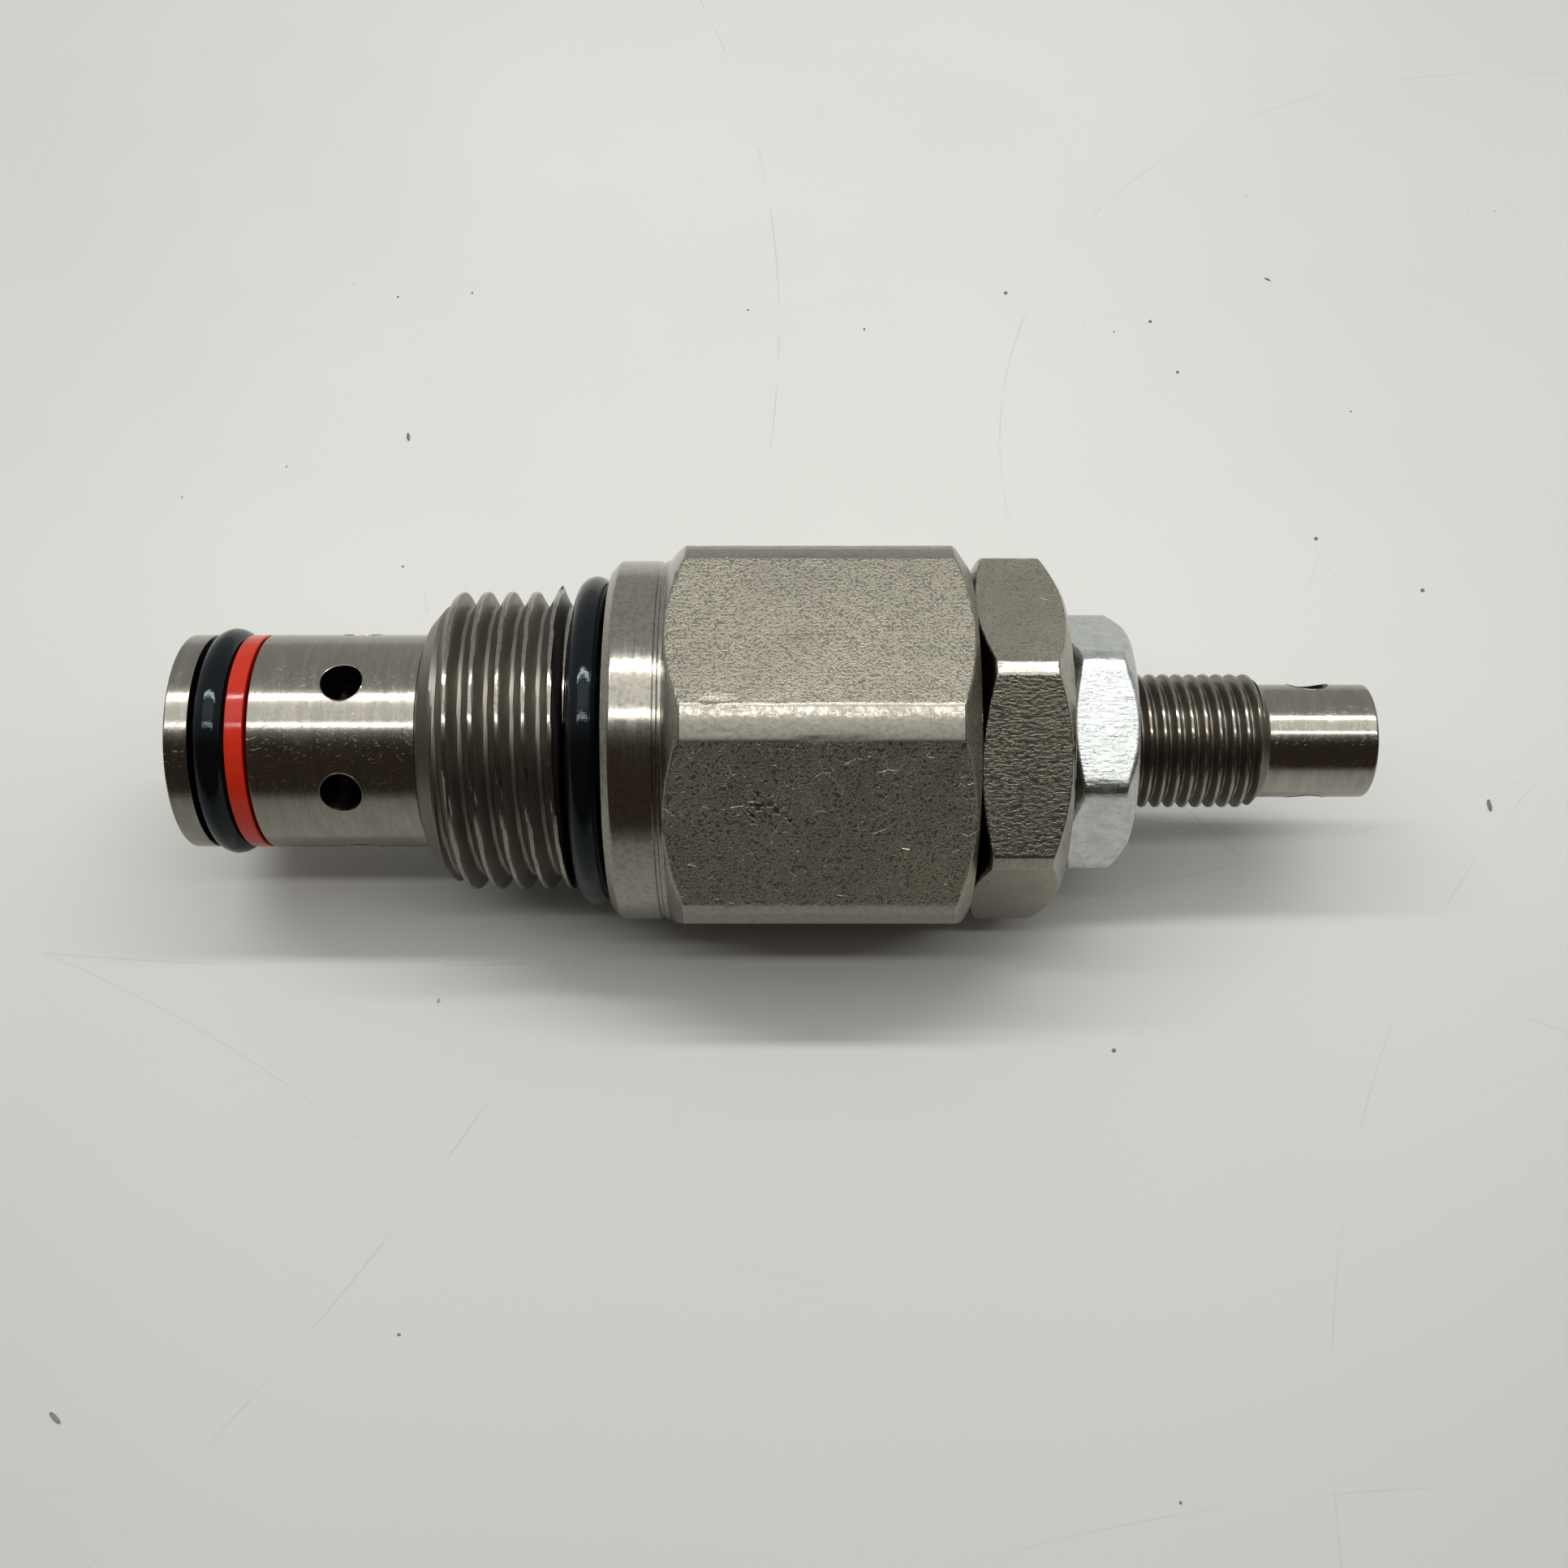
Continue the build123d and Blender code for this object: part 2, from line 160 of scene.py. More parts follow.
class NoseSizes(bpy.types.PropertyGroup):
    """Sizes of the ported nose"""
    radius: length("Radius", "Outside radius of the nose", CAGE_HIGH[2])
    groove_radius: length("Groove radius", "Radius at the bottom of the seal groove", 6.0)
    mouth: length("Mouth radius", "Radius of the nose mouth", 5.2)
    bore: length("Seat bore", "Radius of the bore behind the mouth", 4.75)
    port_radius: length("Port radius", "Radius of one side port", 1.525)
    port_place: place("Port place", "Where the row of side ports is centred", -18.9)
    port_turn: angle("Port turn", "Turn of the first port from straight up", -2.65)
    port_count: IntProperty(name="Ports", description="How many side ports the nose has", default=6, min=1)


class BodySizes(bpy.types.PropertyGroup):
    """Sizes of the threaded body"""
    thread_radius: length("Thread radius", "Outside radius of the mounting thread", 11.1)
    thread_pitch: length("Thread pitch", "Axial distance between the crests", 25.4 / 14)
    thread_depth: length("Thread depth", "Depth of the thread groove", 1.08)
    thread_start: place("Thread phase", "Where the groove passes straight up", -13.716)
    relief_radius: length("Relief radius", "Radius behind the thread, where the O-ring sits", 9.75)
    collar_radius: length("Collar radius", "Outside radius of the seating collar", 13.35)
    across_flats: length("Across flats", "Width of the large hexagon", 27.0)
    corner_radius: length("Corner radius", "Radius of the turned hexagon corners", 14.92)


class BonnetSizes(bpy.types.PropertyGroup):
    """Sizes of the smaller hexagon"""
    across_flats: length("Across flats", "Width of the bonnet hexagon", 24.0)
    corner_radius: length("Corner radius", "Radius of the turned hexagon corners", 13.56)
    hexagon_turn: angle("Turn", "Turn of the hexagon from flat side up", 16.8)


class NutSizes(bpy.types.PropertyGroup):
    """Sizes of the lock nut"""
    across_flats: length("Across flats", "Width of the jam nut", 17.0)
    corner_radius: length("Corner radius", "Radius of the nut corners", 9.55)
    hexagon_turn: angle("Turn", "Turn of the nut from flat side up", 32.9)


class ScrewSizes(bpy.types.PropertyGroup):
    """Sizes of the adjusting screw"""
    thread_radius: length("Thread radius", "Outside radius of the screw thread", 4.985)
    thread_pitch: length("Thread pitch", "Axial distance between the crests", 1.0)
    thread_depth: length("Thread depth", "Depth of the thread groove", 0.6)
    thread_start: place("Thread phase", "Where the groove passes straight up", 26.4)
    pin_radius: length("End radius", "Radius of the smooth end", 4.21)
    hole_radius: length("Cross hole", "Radius of the cross hole", 1.5)
    hole_place: place("Cross hole place", "Where the cross hole is centred", 51.5)
    hole_turn: angle("Cross hole turn", "Turn of the cross hole from straight up", 50.0)
    socket: length("Socket", "Width across flats of the key socket", 5.0)


class SealSizes(bpy.types.PropertyGroup):
    """How finely the seals are made"""
    ring_segments: IntProperty(name="Segments", description="Segments round a ring", default=192, min=24)
    cord_segments: IntProperty(name="Cord sides", description="Segments round the cord", default=40, min=12)
    seam_height: length("Mould line", "Height of the mould line on an O-ring", 0.025)


class SpringSizes(bpy.types.PropertyGroup):
    """Sizes of the pressure spring"""
    wire: length("Wire radius", "Radius of the spring wire", 1.2)
    mean_radius: length("Mean radius", "Radius of the coil at the wire's middle", 5.9)
    turns: FloatProperty(name="Turns", description="Number of coils", default=5.0, min=1.0)


class FinishColours(bpy.types.PropertyGroup):
    """Colours of the finishes"""
    turned: colour("Turned steel", "Colour of the bright turned steel", (0.42, 0.40, 0.347))
    flats: colour("Hexagon flats", "Colour of the blasted flats", (0.385, 0.361, 0.295))
    zinc: colour("Zinc plate", "Colour of the plated nut", (0.72, 0.755, 0.745))
    rubber: colour("Rubber", "Colour of the O-rings", (0.0025, 0.003, 0.004))
    backup: colour("Backup ring", "Colour of the nose backup ring", (0.56, 0.028, 0.010))
    # This colour is real oil in pits and thread grooves, and painted shade in bores, holes, grooves and on
    # the bonnet cone that faces the body.
    oil_and_shade: colour("Oil film", "Colour of old oil in grooves and pits", (0.045, 0.033, 0.022))


class StageSettings(bpy.types.PropertyGroup):
    """The camera and the bench"""
    lens: FloatProperty(name="Lens", description="Focal length on a 36 mm sensor", default=39.24, min=1.0)
    distance: FloatProperty(
        name="Distance", description="From the camera to the valve axis", default=0.128, unit="LENGTH"
    )
    elevation: angle("Elevation", "How far above the bench the camera stands", 55.35)
    pitch: angle("Pitch", "How far the camera looks down", 56.8)
    bench: colour("Bench", "Colour of the bench top", (0.77, 0.775, 0.745))


SETTINGS = {
    "valve_nose": NoseSizes, "valve_body": BodySizes, "valve_bonnet": BonnetSizes, "valve_nut": NutSizes,
    "valve_screw": ScrewSizes, "valve_seals": SealSizes, "valve_spring": SpringSizes,
    "valve_colours": FinishColours, "valve_stage": StageSettings,
}


# Turned outlines and meshes

def placed(name, data):
    """A new object in the scene."""
    made = bpy.data.objects.new(name, data)
    bpy.context.scene.collection.objects.link(made)
    return made


def outline_rows(corners, closed=True):
    """Rows along a turned outline in millimetres.

    Each corner is (x, radius, edge rounding, row step on the stretch after it). A step of 0
    leaves that stretch with no rows between its ends.
    """
    points = np.array([c[:2] for c in corners], float)
    count = len(points)
    knots = []
    for i, here in enumerate(points):
        rounding = corners[i][2]
        if rounding == 0 or (not closed and i in (0, count - 1)):
            knots.append([here])
            continue
        back = points[i - 1] - here
        ahead = points[(i + 1) % count] - here
        back_length, ahead_length = np.linalg.norm(back), np.linalg.norm(ahead)
        back, ahead = back / back_length, ahead / ahead_length
        cut = min(rounding, 0.4 * back_length, 0.4 * ahead_length)
        arc = [(1 - t) ** 2 * (here + back * cut) + 2 * t * (1 - t) * here + t ** 2 * (here + ahead * cut)
               for t in (0.0, 0.25, 0.5, 0.75, 1.0)]
        support = 1.5 * cut
        if support < 0.45 * back_length:
            arc.insert(0, here + back * support)
        if support < 0.45 * ahead_length:
            arc.append(here + ahead * support)
        knots.append(arc)
    rows = []
    for i, knot in enumerate(knots):
        rows += knot
        step = corners[i][3]
        if step and (closed or i < count - 1):
            start, end = knot[-1], knots[(i + 1) % count][0]
            parts = max(1, round(np.linalg.norm(end - start) / step))
            rows += [start + (end - start) * k / parts for k in range(1, parts)]
    return np.array(rows)


def even_angles(count):
    """Angles spread evenly round the axis."""
    return np.arange(count) * TURN / count


def hexagon_angles(turn, per_side=60, near_corner=26):
    """Angles round a hexagon, closer together near its six corners."""
    dense = math.radians(6.5)
    flat = np.linspace(-SIXTH / 2 + dense, SIXTH / 2 - dense, per_side - near_corner, endpoint=False)
    corner = np.linspace(SIXTH / 2 - dense, SIXTH / 2 + dense, near_corner, endpoint=False)
    side = np.concatenate([flat, corner])
    return np.concatenate([side + turn + k * SIXTH for k in range(6)])


def hexagon_radius(angles, across_flats, turn):
    """How far the hexagon's outline is from the axis, at each angle."""
    within = (angles - turn + SIXTH / 2) % SIXTH - SIXTH / 2
    return across_flats / 2 / np.cos(within)


def soft_min(a, b, width):
    """The smaller of two values, with the change between them rounded over a width."""
    blend = np.clip(0.5 + 0.5 * (b - a) / width, 0, 1)
    return b * (1 - blend) + a * blend - width * blend * (1 - blend)


def ripples(x, y, z, size, seed, waves=14):
    """Smooth random lumps of about the given size, between -1 and 1."""
    rng = np.random.default_rng(seed)
    total = np.zeros(np.broadcast(x, y, z).shape)
    for _ in range(waves):
        direction = rng.normal(size=3)
        direction *= TURN / size / np.linalg.norm(direction) * rng.uniform(0.6, 1.5)
        total += np.sin(direction[0] * x + direction[1] * y + direction[2] * z + rng.uniform(0, TURN))
    return total / math.sqrt(waves) / 1.6


def turned_piece(name, rows, angles, shape=None, closed=True):
    """A mesh swept round the X axis; shape may move its rows and give point attributes."""
    x = np.repeat(rows[:, :1], len(angles), axis=1)
    r = np.repeat(rows[:, 1:2], len(angles), axis=1)
    a = np.repeat(angles[None, :], len(rows), axis=0)
    marks = {}
    if shape:
        x, r, marks = shape(x, r, a)
    points = np.stack([x, r * np.sin(a), r * np.cos(a)], axis=-1).reshape(-1, 3) * MM
    index = np.arange(x.size).reshape(x.shape)
    if closed:
        index = np.vstack([index, index[:1]])
    index = np.hstack([index, index[:, :1]])
    faces = np.stack([index[:-1, :-1], index[1:, :-1], index[1:, 1:], index[:-1, 1:]], axis=-1)
    mesh = bpy.data.meshes.new(name)
    mesh.from_pydata(points.tolist(), [], faces.reshape(-1, 4).tolist())
    for mark, values in marks.items():
        layer = mesh.attributes.new(mark, "FLOAT", "POINT")
        layer.data.foreach_set("value", np.ascontiguousarray(values, dtype=np.float32).ravel())
    settle(mesh)
    return placed(name, mesh)


def settle(mesh, sharp=32.0):
    """Merge a mesh's poles and doubles, turn its faces outward and shade it smooth."""
    work = bmesh.new()
    work.from_mesh(mesh)
    bmesh.ops.remove_doubles(work, verts=work.verts, dist=1e-7)
    bmesh.ops.dissolve_degenerate(work, edges=work.edges, dist=1e-8)
    bmesh.ops.recalc_face_normals(work, faces=work.faces)
    work.to_mesh(mesh)
    work.free()
    mesh.shade_smooth()
    mesh.set_sharp_from_angle(angle=math.radians(sharp))
    mesh.update()


def apply_modifiers(piece):
    """Replace a piece's mesh with the result of its modifiers, and remove them."""
    evaluated = piece.evaluated_get(bpy.context.evaluated_depsgraph_get())
    mesh = bpy.data.meshes.new_from_object(evaluated)
    piece.modifiers.clear()
    old = piece.data
    piece.data = mesh
    bpy.data.meshes.remove(old)
    mesh.name = piece.name


def drill(piece, holes):
    """Cut holes through a piece. Each hole is (x, turn, radius, from depth, to depth) in millimetres."""
    cutter_mesh = bpy.data.meshes.new("drill")
    work = bmesh.new()
    for x, turn, radius, low, high in holes:
        made = bmesh.ops.create_cone(
            work, cap_ends=True, segments=48,
            radius1=radius * MM, radius2=radius * MM, depth=(high - low) * MM,
        )
        middle = (low + high) / 2 * MM
        for v in made["verts"]:
            height = v.co.z + middle
            across = v.co.y
            v.co = Vector((
                v.co.x + x * MM,
                height * math.sin(turn) + across * math.cos(turn),
                height * math.cos(turn) - across * math.sin(turn),
            ))
    bmesh.ops.recalc_face_normals(work, faces=work.faces)
    work.to_mesh(cutter_mesh)
    work.free()
    cutter = placed("drill", cutter_mesh)
    cut = piece.modifiers.new("holes", "BOOLEAN")
    cut.operation = "DIFFERENCE"
    cut.solver = "EXACT"
    cut.object = cutter
    apply_modifiers(piece)
    bpy.data.objects.remove(cutter)
    bpy.data.meshes.remove(cutter_mesh)
    settle(piece.data)


def dress(piece, key):
    """Give a piece one finish and no other."""
    piece.data.materials.clear()
    piece.data.materials.append(finish_of(key))


def finish_piece(piece, key, body, slot, *nodes):
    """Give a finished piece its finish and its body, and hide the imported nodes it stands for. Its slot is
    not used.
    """
    dress(piece, key)
    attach(piece, body)
    if nodes:
        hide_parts(*nodes)


# Node helpers

def add(tree, kind, inputs=None, **settings):
    """Add a node, set its settings, and fill or link its inputs by name or number."""
    made = tree.nodes.new(kind)
    for key, value in settings.items():
        setattr(made, key, value)
    for key, value in (inputs or {}).items():
        socket = made.inputs[key]
        if isinstance(value, bpy.types.NodeSocket):
            tree.links.new(value, socket)
        else:
            socket.default_value = value
    return made


def maths(tree, operation, a, b=0.0, c=0.0):
    """One step of arithmetic on values or sockets."""
    return add(tree, "ShaderNodeMath", {0: a, 1: b, 2: c}, operation=operation).outputs[0]


def times(tree, a, b):
    """Two values or sockets multiplied."""
    return maths(tree, "MULTIPLY", a, b)


def plus(tree, a, b):
    """Two values or sockets added."""
    return maths(tree, "ADD", a, b)


def minus(tree, a, b):
    """The second value or socket taken from the first."""
    return maths(tree, "SUBTRACT", a, b)


def mixed(tree, factor, a, b):
    """A colour between a and b."""
    inputs = {"Factor": factor, 6: a, 7: b}
    return add(tree, "ShaderNodeMix", inputs, data_type="RGBA", clamp_factor=True).outputs[2]


def ranged(tree, value, low, high, to_low=0.0, to_high=1.0):
    """A value moved smoothly from one range to another, and clamped."""
    inputs = {0: value, 1: low, 2: high, 3: to_low, 4: to_high}
    return add(tree, "ShaderNodeMapRange", inputs, interpolation_type="SMOOTHSTEP").outputs[0]


def noise(tree, vector, scale, detail=3.0, roughness=0.55):
    """Cloudy values round 0.5."""
    inputs = {"Vector": vector, "Scale": scale, "Detail": detail, "Roughness": roughness}
    return add(tree, "ShaderNodeTexNoise", inputs).outputs[0]


def stretched(tree, x, y, z):
    """A vector from three values or sockets."""
    return add(tree, "ShaderNodeCombineXYZ", {0: x, 1: y, 2: z}).outputs[0]


def rgb(value, factor=1.0):
    """A colour socket's value, darkened or brightened by a factor."""
    return (*(min(1.0, c * factor) for c in value), 1.0)


class Finish:
    """A metal or plastic material: the object coordinates, in millimetres, and its shader."""

    def __init__(self, name):
        self.material = bpy.data.materials.new(name)
        self.material.use_nodes = True
        self.tree = self.material.node_tree
        self.tree.nodes.clear()
        self.shader = add(self.tree, "ShaderNodeBsdfPrincipled")
        output = add(self.tree, "ShaderNodeOutputMaterial")
        self.tree.links.new(self.shader.outputs[0], output.inputs[0])
        place = add(self.tree, "ShaderNodeTexCoord").outputs["Object"]
        scaled = add(self.tree, "ShaderNodeVectorMath", {0: place, "Scale": 1 / MM}, operation="SCALE")
        self.place = scaled.outputs[0]
        split = add(self.tree, "ShaderNodeSeparateXYZ", {0: self.place})
        self.x, self.y, self.z = split.outputs[:3]
        yy = times(self.tree, self.y, self.y)
        self.r = maths(self.tree, "SQRT", maths(self.tree, "MULTIPLY_ADD", self.z, self.z, yy))

    def rings(self, per_mm, round_scale=0.25, detail=4.0):
        """Fine lines round the axis, as a lathe tool leaves on cylinders and on end faces."""
        along = maths(self.tree, "MULTIPLY_ADD", self.r, 0.83, self.x)
        fine = times(self.tree, along, per_mm)
        y = times(self.tree, self.y, round_scale)
        z = times(self.tree, self.z, round_scale)
        return noise(self.tree, stretched(self.tree, fine, y, z), 1.0, detail)

    def mark(self, name):
        """A value painted on the mesh's points."""
        return add(self.tree, "ShaderNodeAttribute", attribute_name=name).outputs["Fac"]

    def bump(self, height, strength, distance_mm):
        """A normal that leans as the height changes."""
        inputs = {"Height": height, "Strength": strength, "Distance": distance_mm * MM}
        return add(self.tree, "ShaderNodeBump", inputs).outputs[0]

    def set(self, **values):
        """Fill or link the shader's sockets, and give back the finished material."""
        for key, value in values.items():
            socket = self.shader.inputs[key.replace("_", " ")]
            if isinstance(value, bpy.types.NodeSocket):
                self.tree.links.new(value, socket)
            else:
                socket.default_value = value
        return self.material


def turned_steel(name, base, oil_and_shade, rough=0.13, ring_strength=0.35, per_mm=14.0, skin_radius=0.0,
                 crest_radius=0.0):
    """Bright turned steel with tool lines, faint stains and a few scratches.

    Below the skin radius, in millimetres, the bores and grooves get painted shade in the oil colour.
    Between the skin and the crest radius the thread flanks get painted shade and a rougher finish, so only
    the crests are bright.
    """
    f = Finish(name)
    t = f.tree
    lines = f.rings(per_mm)
    broad = f.rings(2.2, 0.35, 2.0)
    stain = noise(t, f.place, 0.35, 4.0)
    fleck = noise(t, f.place, 3.2, 3.0, 0.65)
    scratch = maths(t, "MAXIMUM", scratches(f, 0.9, 0.012), scratches(f, 2.3, 0.02))
    tone = mixed(t, ranged(t, broad, 0.35, 0.7), rgb(base, 0.84), rgb(base))
    tone = mixed(t, ranged(t, lines, 0.35, 0.65, 0.0, 0.35), tone, rgb(base, 0.72))
    tone = mixed(t, ranged(t, fleck, 0.5, 0.7, 0.0, 0.3), tone, rgb(base, 0.62))
    tone = mixed(t, ranged(t, stain, 0.55, 0.75, 0.0, 0.4), tone, rgb(base, 0.6))
    # Real oil and painted shade: the oil mark holds oil smears and shade in recesses, and below the skin
    # radius all bores and grooves get painted shade.
    oil_and_shade_mask = f.mark("oil_and_shade")
    if skin_radius:
        inside = ranged(t, f.r, skin_radius - 0.3, skin_radius - 0.05, 1.0, 0.0)
        oil_and_shade_mask = maths(t, "MAXIMUM", oil_and_shade_mask, inside)
    roughness = ranged(t, lines, 0.3, 0.7, rough * 0.8, rough * 1.35)
    roughness = plus(t, roughness, ranged(t, stain, 0.5, 0.8, 0.0, 0.1))
    # Painted shade: the thread flanks between the skin and the crest radius are darkened, and made rougher.
    if crest_radius:
        below = ranged(t, f.r, crest_radius - 0.09, crest_radius - 0.02, 1.0, 0.0)
        flank = times(t, below, ranged(t, f.r, skin_radius, skin_radius + 0.05))
        tone = mixed(t, times(t, flank, 0.8), tone, rgb((0.22, 0.20, 0.17)))
        roughness = maths(t, "MULTIPLY_ADD", flank, 0.18, roughness)
    tone = mixed(t, times(t, oil_and_shade_mask, 0.95), tone, rgb(oil_and_shade))
    roughness = maths(t, "MULTIPLY_ADD", oil_and_shade_mask, 0.25, roughness)
    height = minus(t, lines, times(t, scratch, 0.8))
    height = maths(t, "MULTIPLY_ADD", fleck, 0.35, height)
    normal = f.bump(height, ring_strength, 0.02)
    return f.set(Base_Color=tone, Metallic=1.0, Roughness=roughness, Normal=normal)


def scratches(f, scale, width):
    """Thin random lines, 1 on a scratch and 0 elsewhere."""
    t = f.tree
    warp = noise(t, f.place, scale * 0.6, 1.0)
    bent = add(t, "ShaderNodeVectorMath", {0: f.place, 1: stretched(t, warp, 0.0, warp)}, operation="ADD")
    cells = add(
        t, "ShaderNodeTexVoronoi", {"Vector": bent.outputs[0], "Scale": scale}, feature="DISTANCE_TO_EDGE"
    )
    line = ranged(t, cells.outputs[0], 0.0, width, 1.0, 0.0)
    broken = ranged(t, noise(t, f.place, scale * 2.1, 2.0), 0.55, 0.62)
    return times(t, line, broken)


def float_mix(tree, factor, a, b):
    """A number between a and b."""
    inputs = {"Factor": factor, 2: a, 3: b}
    return add(tree, "ShaderNodeMix", inputs, data_type="FLOAT").outputs[0]


def wrinkles(f, size_mm):
    """Worm-like wrinkles of about the given size, higher where two folds meet."""
    t = f.tree
    folds = noise(t, f.place, 0.75 / size_mm, 3.0, 0.6)
    ridge = maths(t, "ABSOLUTE", minus(t, folds, 0.5))
    ridge = ranged(t, ridge, 0.0, 0.11, 1.0, 0.0)
    fine = noise(t, f.place, 2.0 / size_mm, 2.0, 0.6)
    return maths(t, "MULTIPLY_ADD", fine, 0.5, times(t, ridge, 0.6))


def distance_from(f, point):
    """How far the surface is from a point, in millimetres."""
    inputs = {0: f.place, 1: point}
    return add(f.tree, "ShaderNodeVectorMath", inputs, operation="DISTANCE").outputs["Value"]


def blasted_skin(f, colour, oil_and_shade, grain_mm):
    """The colour, roughness and height of a blasted flat, with pits, a stain and scratches."""
    t = f.tree
    coarse = f.mark("coarse")
    grain = wrinkles(f, grain_mm)
    lengthwise = stretched(t, times(t, f.x, 0.42), f.y, f.z)
    folds = ranged(t, noise(t, lengthwise, 5.2, 3.0, 0.6), 0.30, 0.70)
    relief = float_mix(t, coarse, grain, folds)
    patches = noise(t, f.place, 0.16, 3.0)
    pits = noise(t, f.place, 1.5, 3.0)
    cluster = ranged(t, patches, 0.52, 0.70, 0.0, 0.03)
    stain = ranged(t, distance_from(f, STAIN_PLACE), 0.3, 4.6, 1.0, 0.0)
    cluster = maths(t, "MULTIPLY_ADD", stain, 0.2, cluster)
    pitted = ranged(t, plus(t, pits, cluster), 0.73, 0.80)
    fine_scratch = times(t, scratches(f, 1.2, 0.012), 0.5)
    scratch = maths(t, "MAXIMUM", scratches(f, 0.42, 0.012), fine_scratch)
    tone = mixed(t, ranged(t, relief, 0.22, 0.68), rgb(colour, 0.84), rgb(colour, 1.14))
    tone = mixed(t, ranged(t, patches, 0.38, 0.66, 0.0, 0.28), tone, rgb(colour, 0.62))
    tone = mixed(t, times(t, pitted, 0.75), tone, rgb(oil_and_shade))
    tone = mixed(t, times(t, scratch, 0.7), tone, rgb(colour, 2.0))
    height = times(t, relief, ranged(t, coarse, 0.0, 1.0, 0.28, 0.22))
    height = minus(t, height, times(t, pitted, 0.6))
    height = minus(t, height, times(t, scratch, 0.6))
    return tone, ranged(t, relief, 0.2, 0.7, 0.30, 0.335), height


def turned_skin(f, colour, crest_radius, front_x):
    """The colour, roughness and height of turned cones, scuffed corner bands and thread flanks."""
    t = f.tree
    band = f.mark("band")
    lines = f.rings(12.0)
    fleck = noise(t, f.place, 2.6, 4.0, 0.65)
    dull = rgb(colour, 0.66)
    tone = mixed(t, ranged(t, fleck, 0.42, 0.68, 0.0, 0.75), rgb(colour), dull)
    tone = mixed(t, times(t, band, 0.35), tone, dull)
    scuffed = float_mix(t, f.mark("shine"), 0.30, ranged(t, fleck, 0.35, 0.65, 0.0, 0.14))
    roughness = plus(t, ranged(t, lines, 0.3, 0.7, 0.12, 0.19), times(t, band, scuffed))
    # Painted shade: in front of the relief the thread flanks below the crest are darkened, and made
    # rougher.
    if crest_radius:
        ahead = ranged(t, f.x, front_x - 0.2, front_x, 1.0, 0.0)
        below = ranged(t, f.r, crest_radius - 0.16, crest_radius - 0.04, 1.0, 0.0)
        flank = times(t, ahead, below)
        tone = mixed(t, times(t, flank, 0.85), tone, rgb((0.25, 0.235, 0.205)))
        roughness = maths(t, "MULTIPLY_ADD", flank, 0.26, roughness)
    height = plus(t, times(t, lines, 0.06), times(t, fleck, ranged(t, band, 0.0, 1.0, 0.03, 0.16)))
    return tone, roughness, height


def hexagon_steel(name, flat_colour, turned_colour, oil_and_shade, grain_mm, crest_radius=0.0, front_x=0.0):
    """Blasted flats between bright turned cones and shiny, scuffed corner bands.

    The mark "coarse" gives a flat long wrinkles instead of fine grain. In front of the given
    place, surfaces below the crest radius are the flanks of the mounting thread, rougher and with painted
    shade.
    """
    f = Finish(name)
    t = f.tree
    flat = f.mark("flat")
    flat_tone, flat_rough, flat_height = blasted_skin(f, flat_colour, oil_and_shade, grain_mm)
    turned_tone, turned_rough, turned_height = turned_skin(f, turned_colour, crest_radius, front_x)
    tone = mixed(t, flat, turned_tone, flat_tone)
    # The oil mark darkens real oil smears on the body thread, and paints shade on the bonnet cone and in
    # recesses.
    tone = mixed(t, times(t, f.mark("oil_and_shade"), 0.9), tone, rgb(oil_and_shade))
    roughness = float_mix(t, flat, turned_rough, flat_rough)
    normal = f.bump(float_mix(t, flat, turned_height, flat_height), 1.0, 0.10)
    return f.set(Base_Color=tone, Metallic=1.0, Roughness=roughness, Normal=normal)


def zinc_plate(base):
    """Bright zinc plate, mottled, with fine scratches along the valve."""
    f = Finish("zinc_plate")
    t = f.tree
    mottle = noise(t, f.place, 0.9, 5.0, 0.7)
    spots = noise(t, f.place, 2.4, 3.0, 0.6)
    along = stretched(t, times(t, f.x, 0.3), f.y, f.z)
    fine = noise(t, along, 5.0, 3.0, 0.6)
    tone = mixed(t, ranged(t, mottle, 0.35, 0.65), rgb(base, 0.74), rgb(base))
    tone = mixed(t, ranged(t, spots, 0.56, 0.7, 0.0, 0.5), tone, rgb(base, 0.55))
    tone = mixed(t, ranged(t, fine, 0.6, 0.72, 0.0, 0.6), tone, rgb(base, 0.45))
    roughness = ranged(t, mottle, 0.3, 0.7, 0.22, 0.36)
    height = plus(t, times(t, fine, 1.1), times(t, mottle, 0.3))
    return f.set(Base_Color=tone, Metallic=1.0, Roughness=roughness, Normal=f.bump(height, 0.6, 0.05))


def rubber(base):
    """Oiled black rubber, glossy, with a broken sheen."""
    f = Finish("oiled_rubber")
    t = f.tree
    lumps = noise(t, f.place, 2.2, 3.0)
    dust = noise(t, f.place, 7.0, 2.0)
    tone = mixed(t, ranged(t, dust, 0.62, 0.75, 0.0, 0.3), rgb(base), rgb((0.012, 0.018, 0.022)))
    roughness = ranged(t, lumps, 0.4, 0.65, 0.025, 0.07)
    height = plus(t, lumps, times(t, dust, 0.5))
    return f.set(
        Base_Color=tone, Metallic=0.0, Roughness=roughness, Normal=f.bump(height, 0.6, 0.014),
        Specular_IOR_Level=0.36, Specular_Tint=(0.74, 0.92, 1.0, 1.0),
    )


def red_plastic(base):
    """Hard red-orange backup ring plastic with fine turning lines."""
    f = Finish("red_plastic")
    t = f.tree
    lines = f.rings(10.0)
    cloud = noise(t, f.place, 0.6)
    tone = mixed(t, ranged(t, cloud, 0.3, 0.7), rgb(base), rgb(base, 1.12))
    roughness = ranged(t, lines, 0.3, 0.7, 0.08, 0.15)
    return f.set(
        Base_Color=tone, Metallic=0.0, Roughness=roughness, Normal=f.bump(lines, 0.15, 0.02),
        Specular_IOR_Level=0.4,
    )


def inner_steel(base):
    """Ground steel of the pieces inside."""
    return turned_steel("ground_steel", base, (0.05, 0.04, 0.03), rough=0.3, ring_strength=0.15)


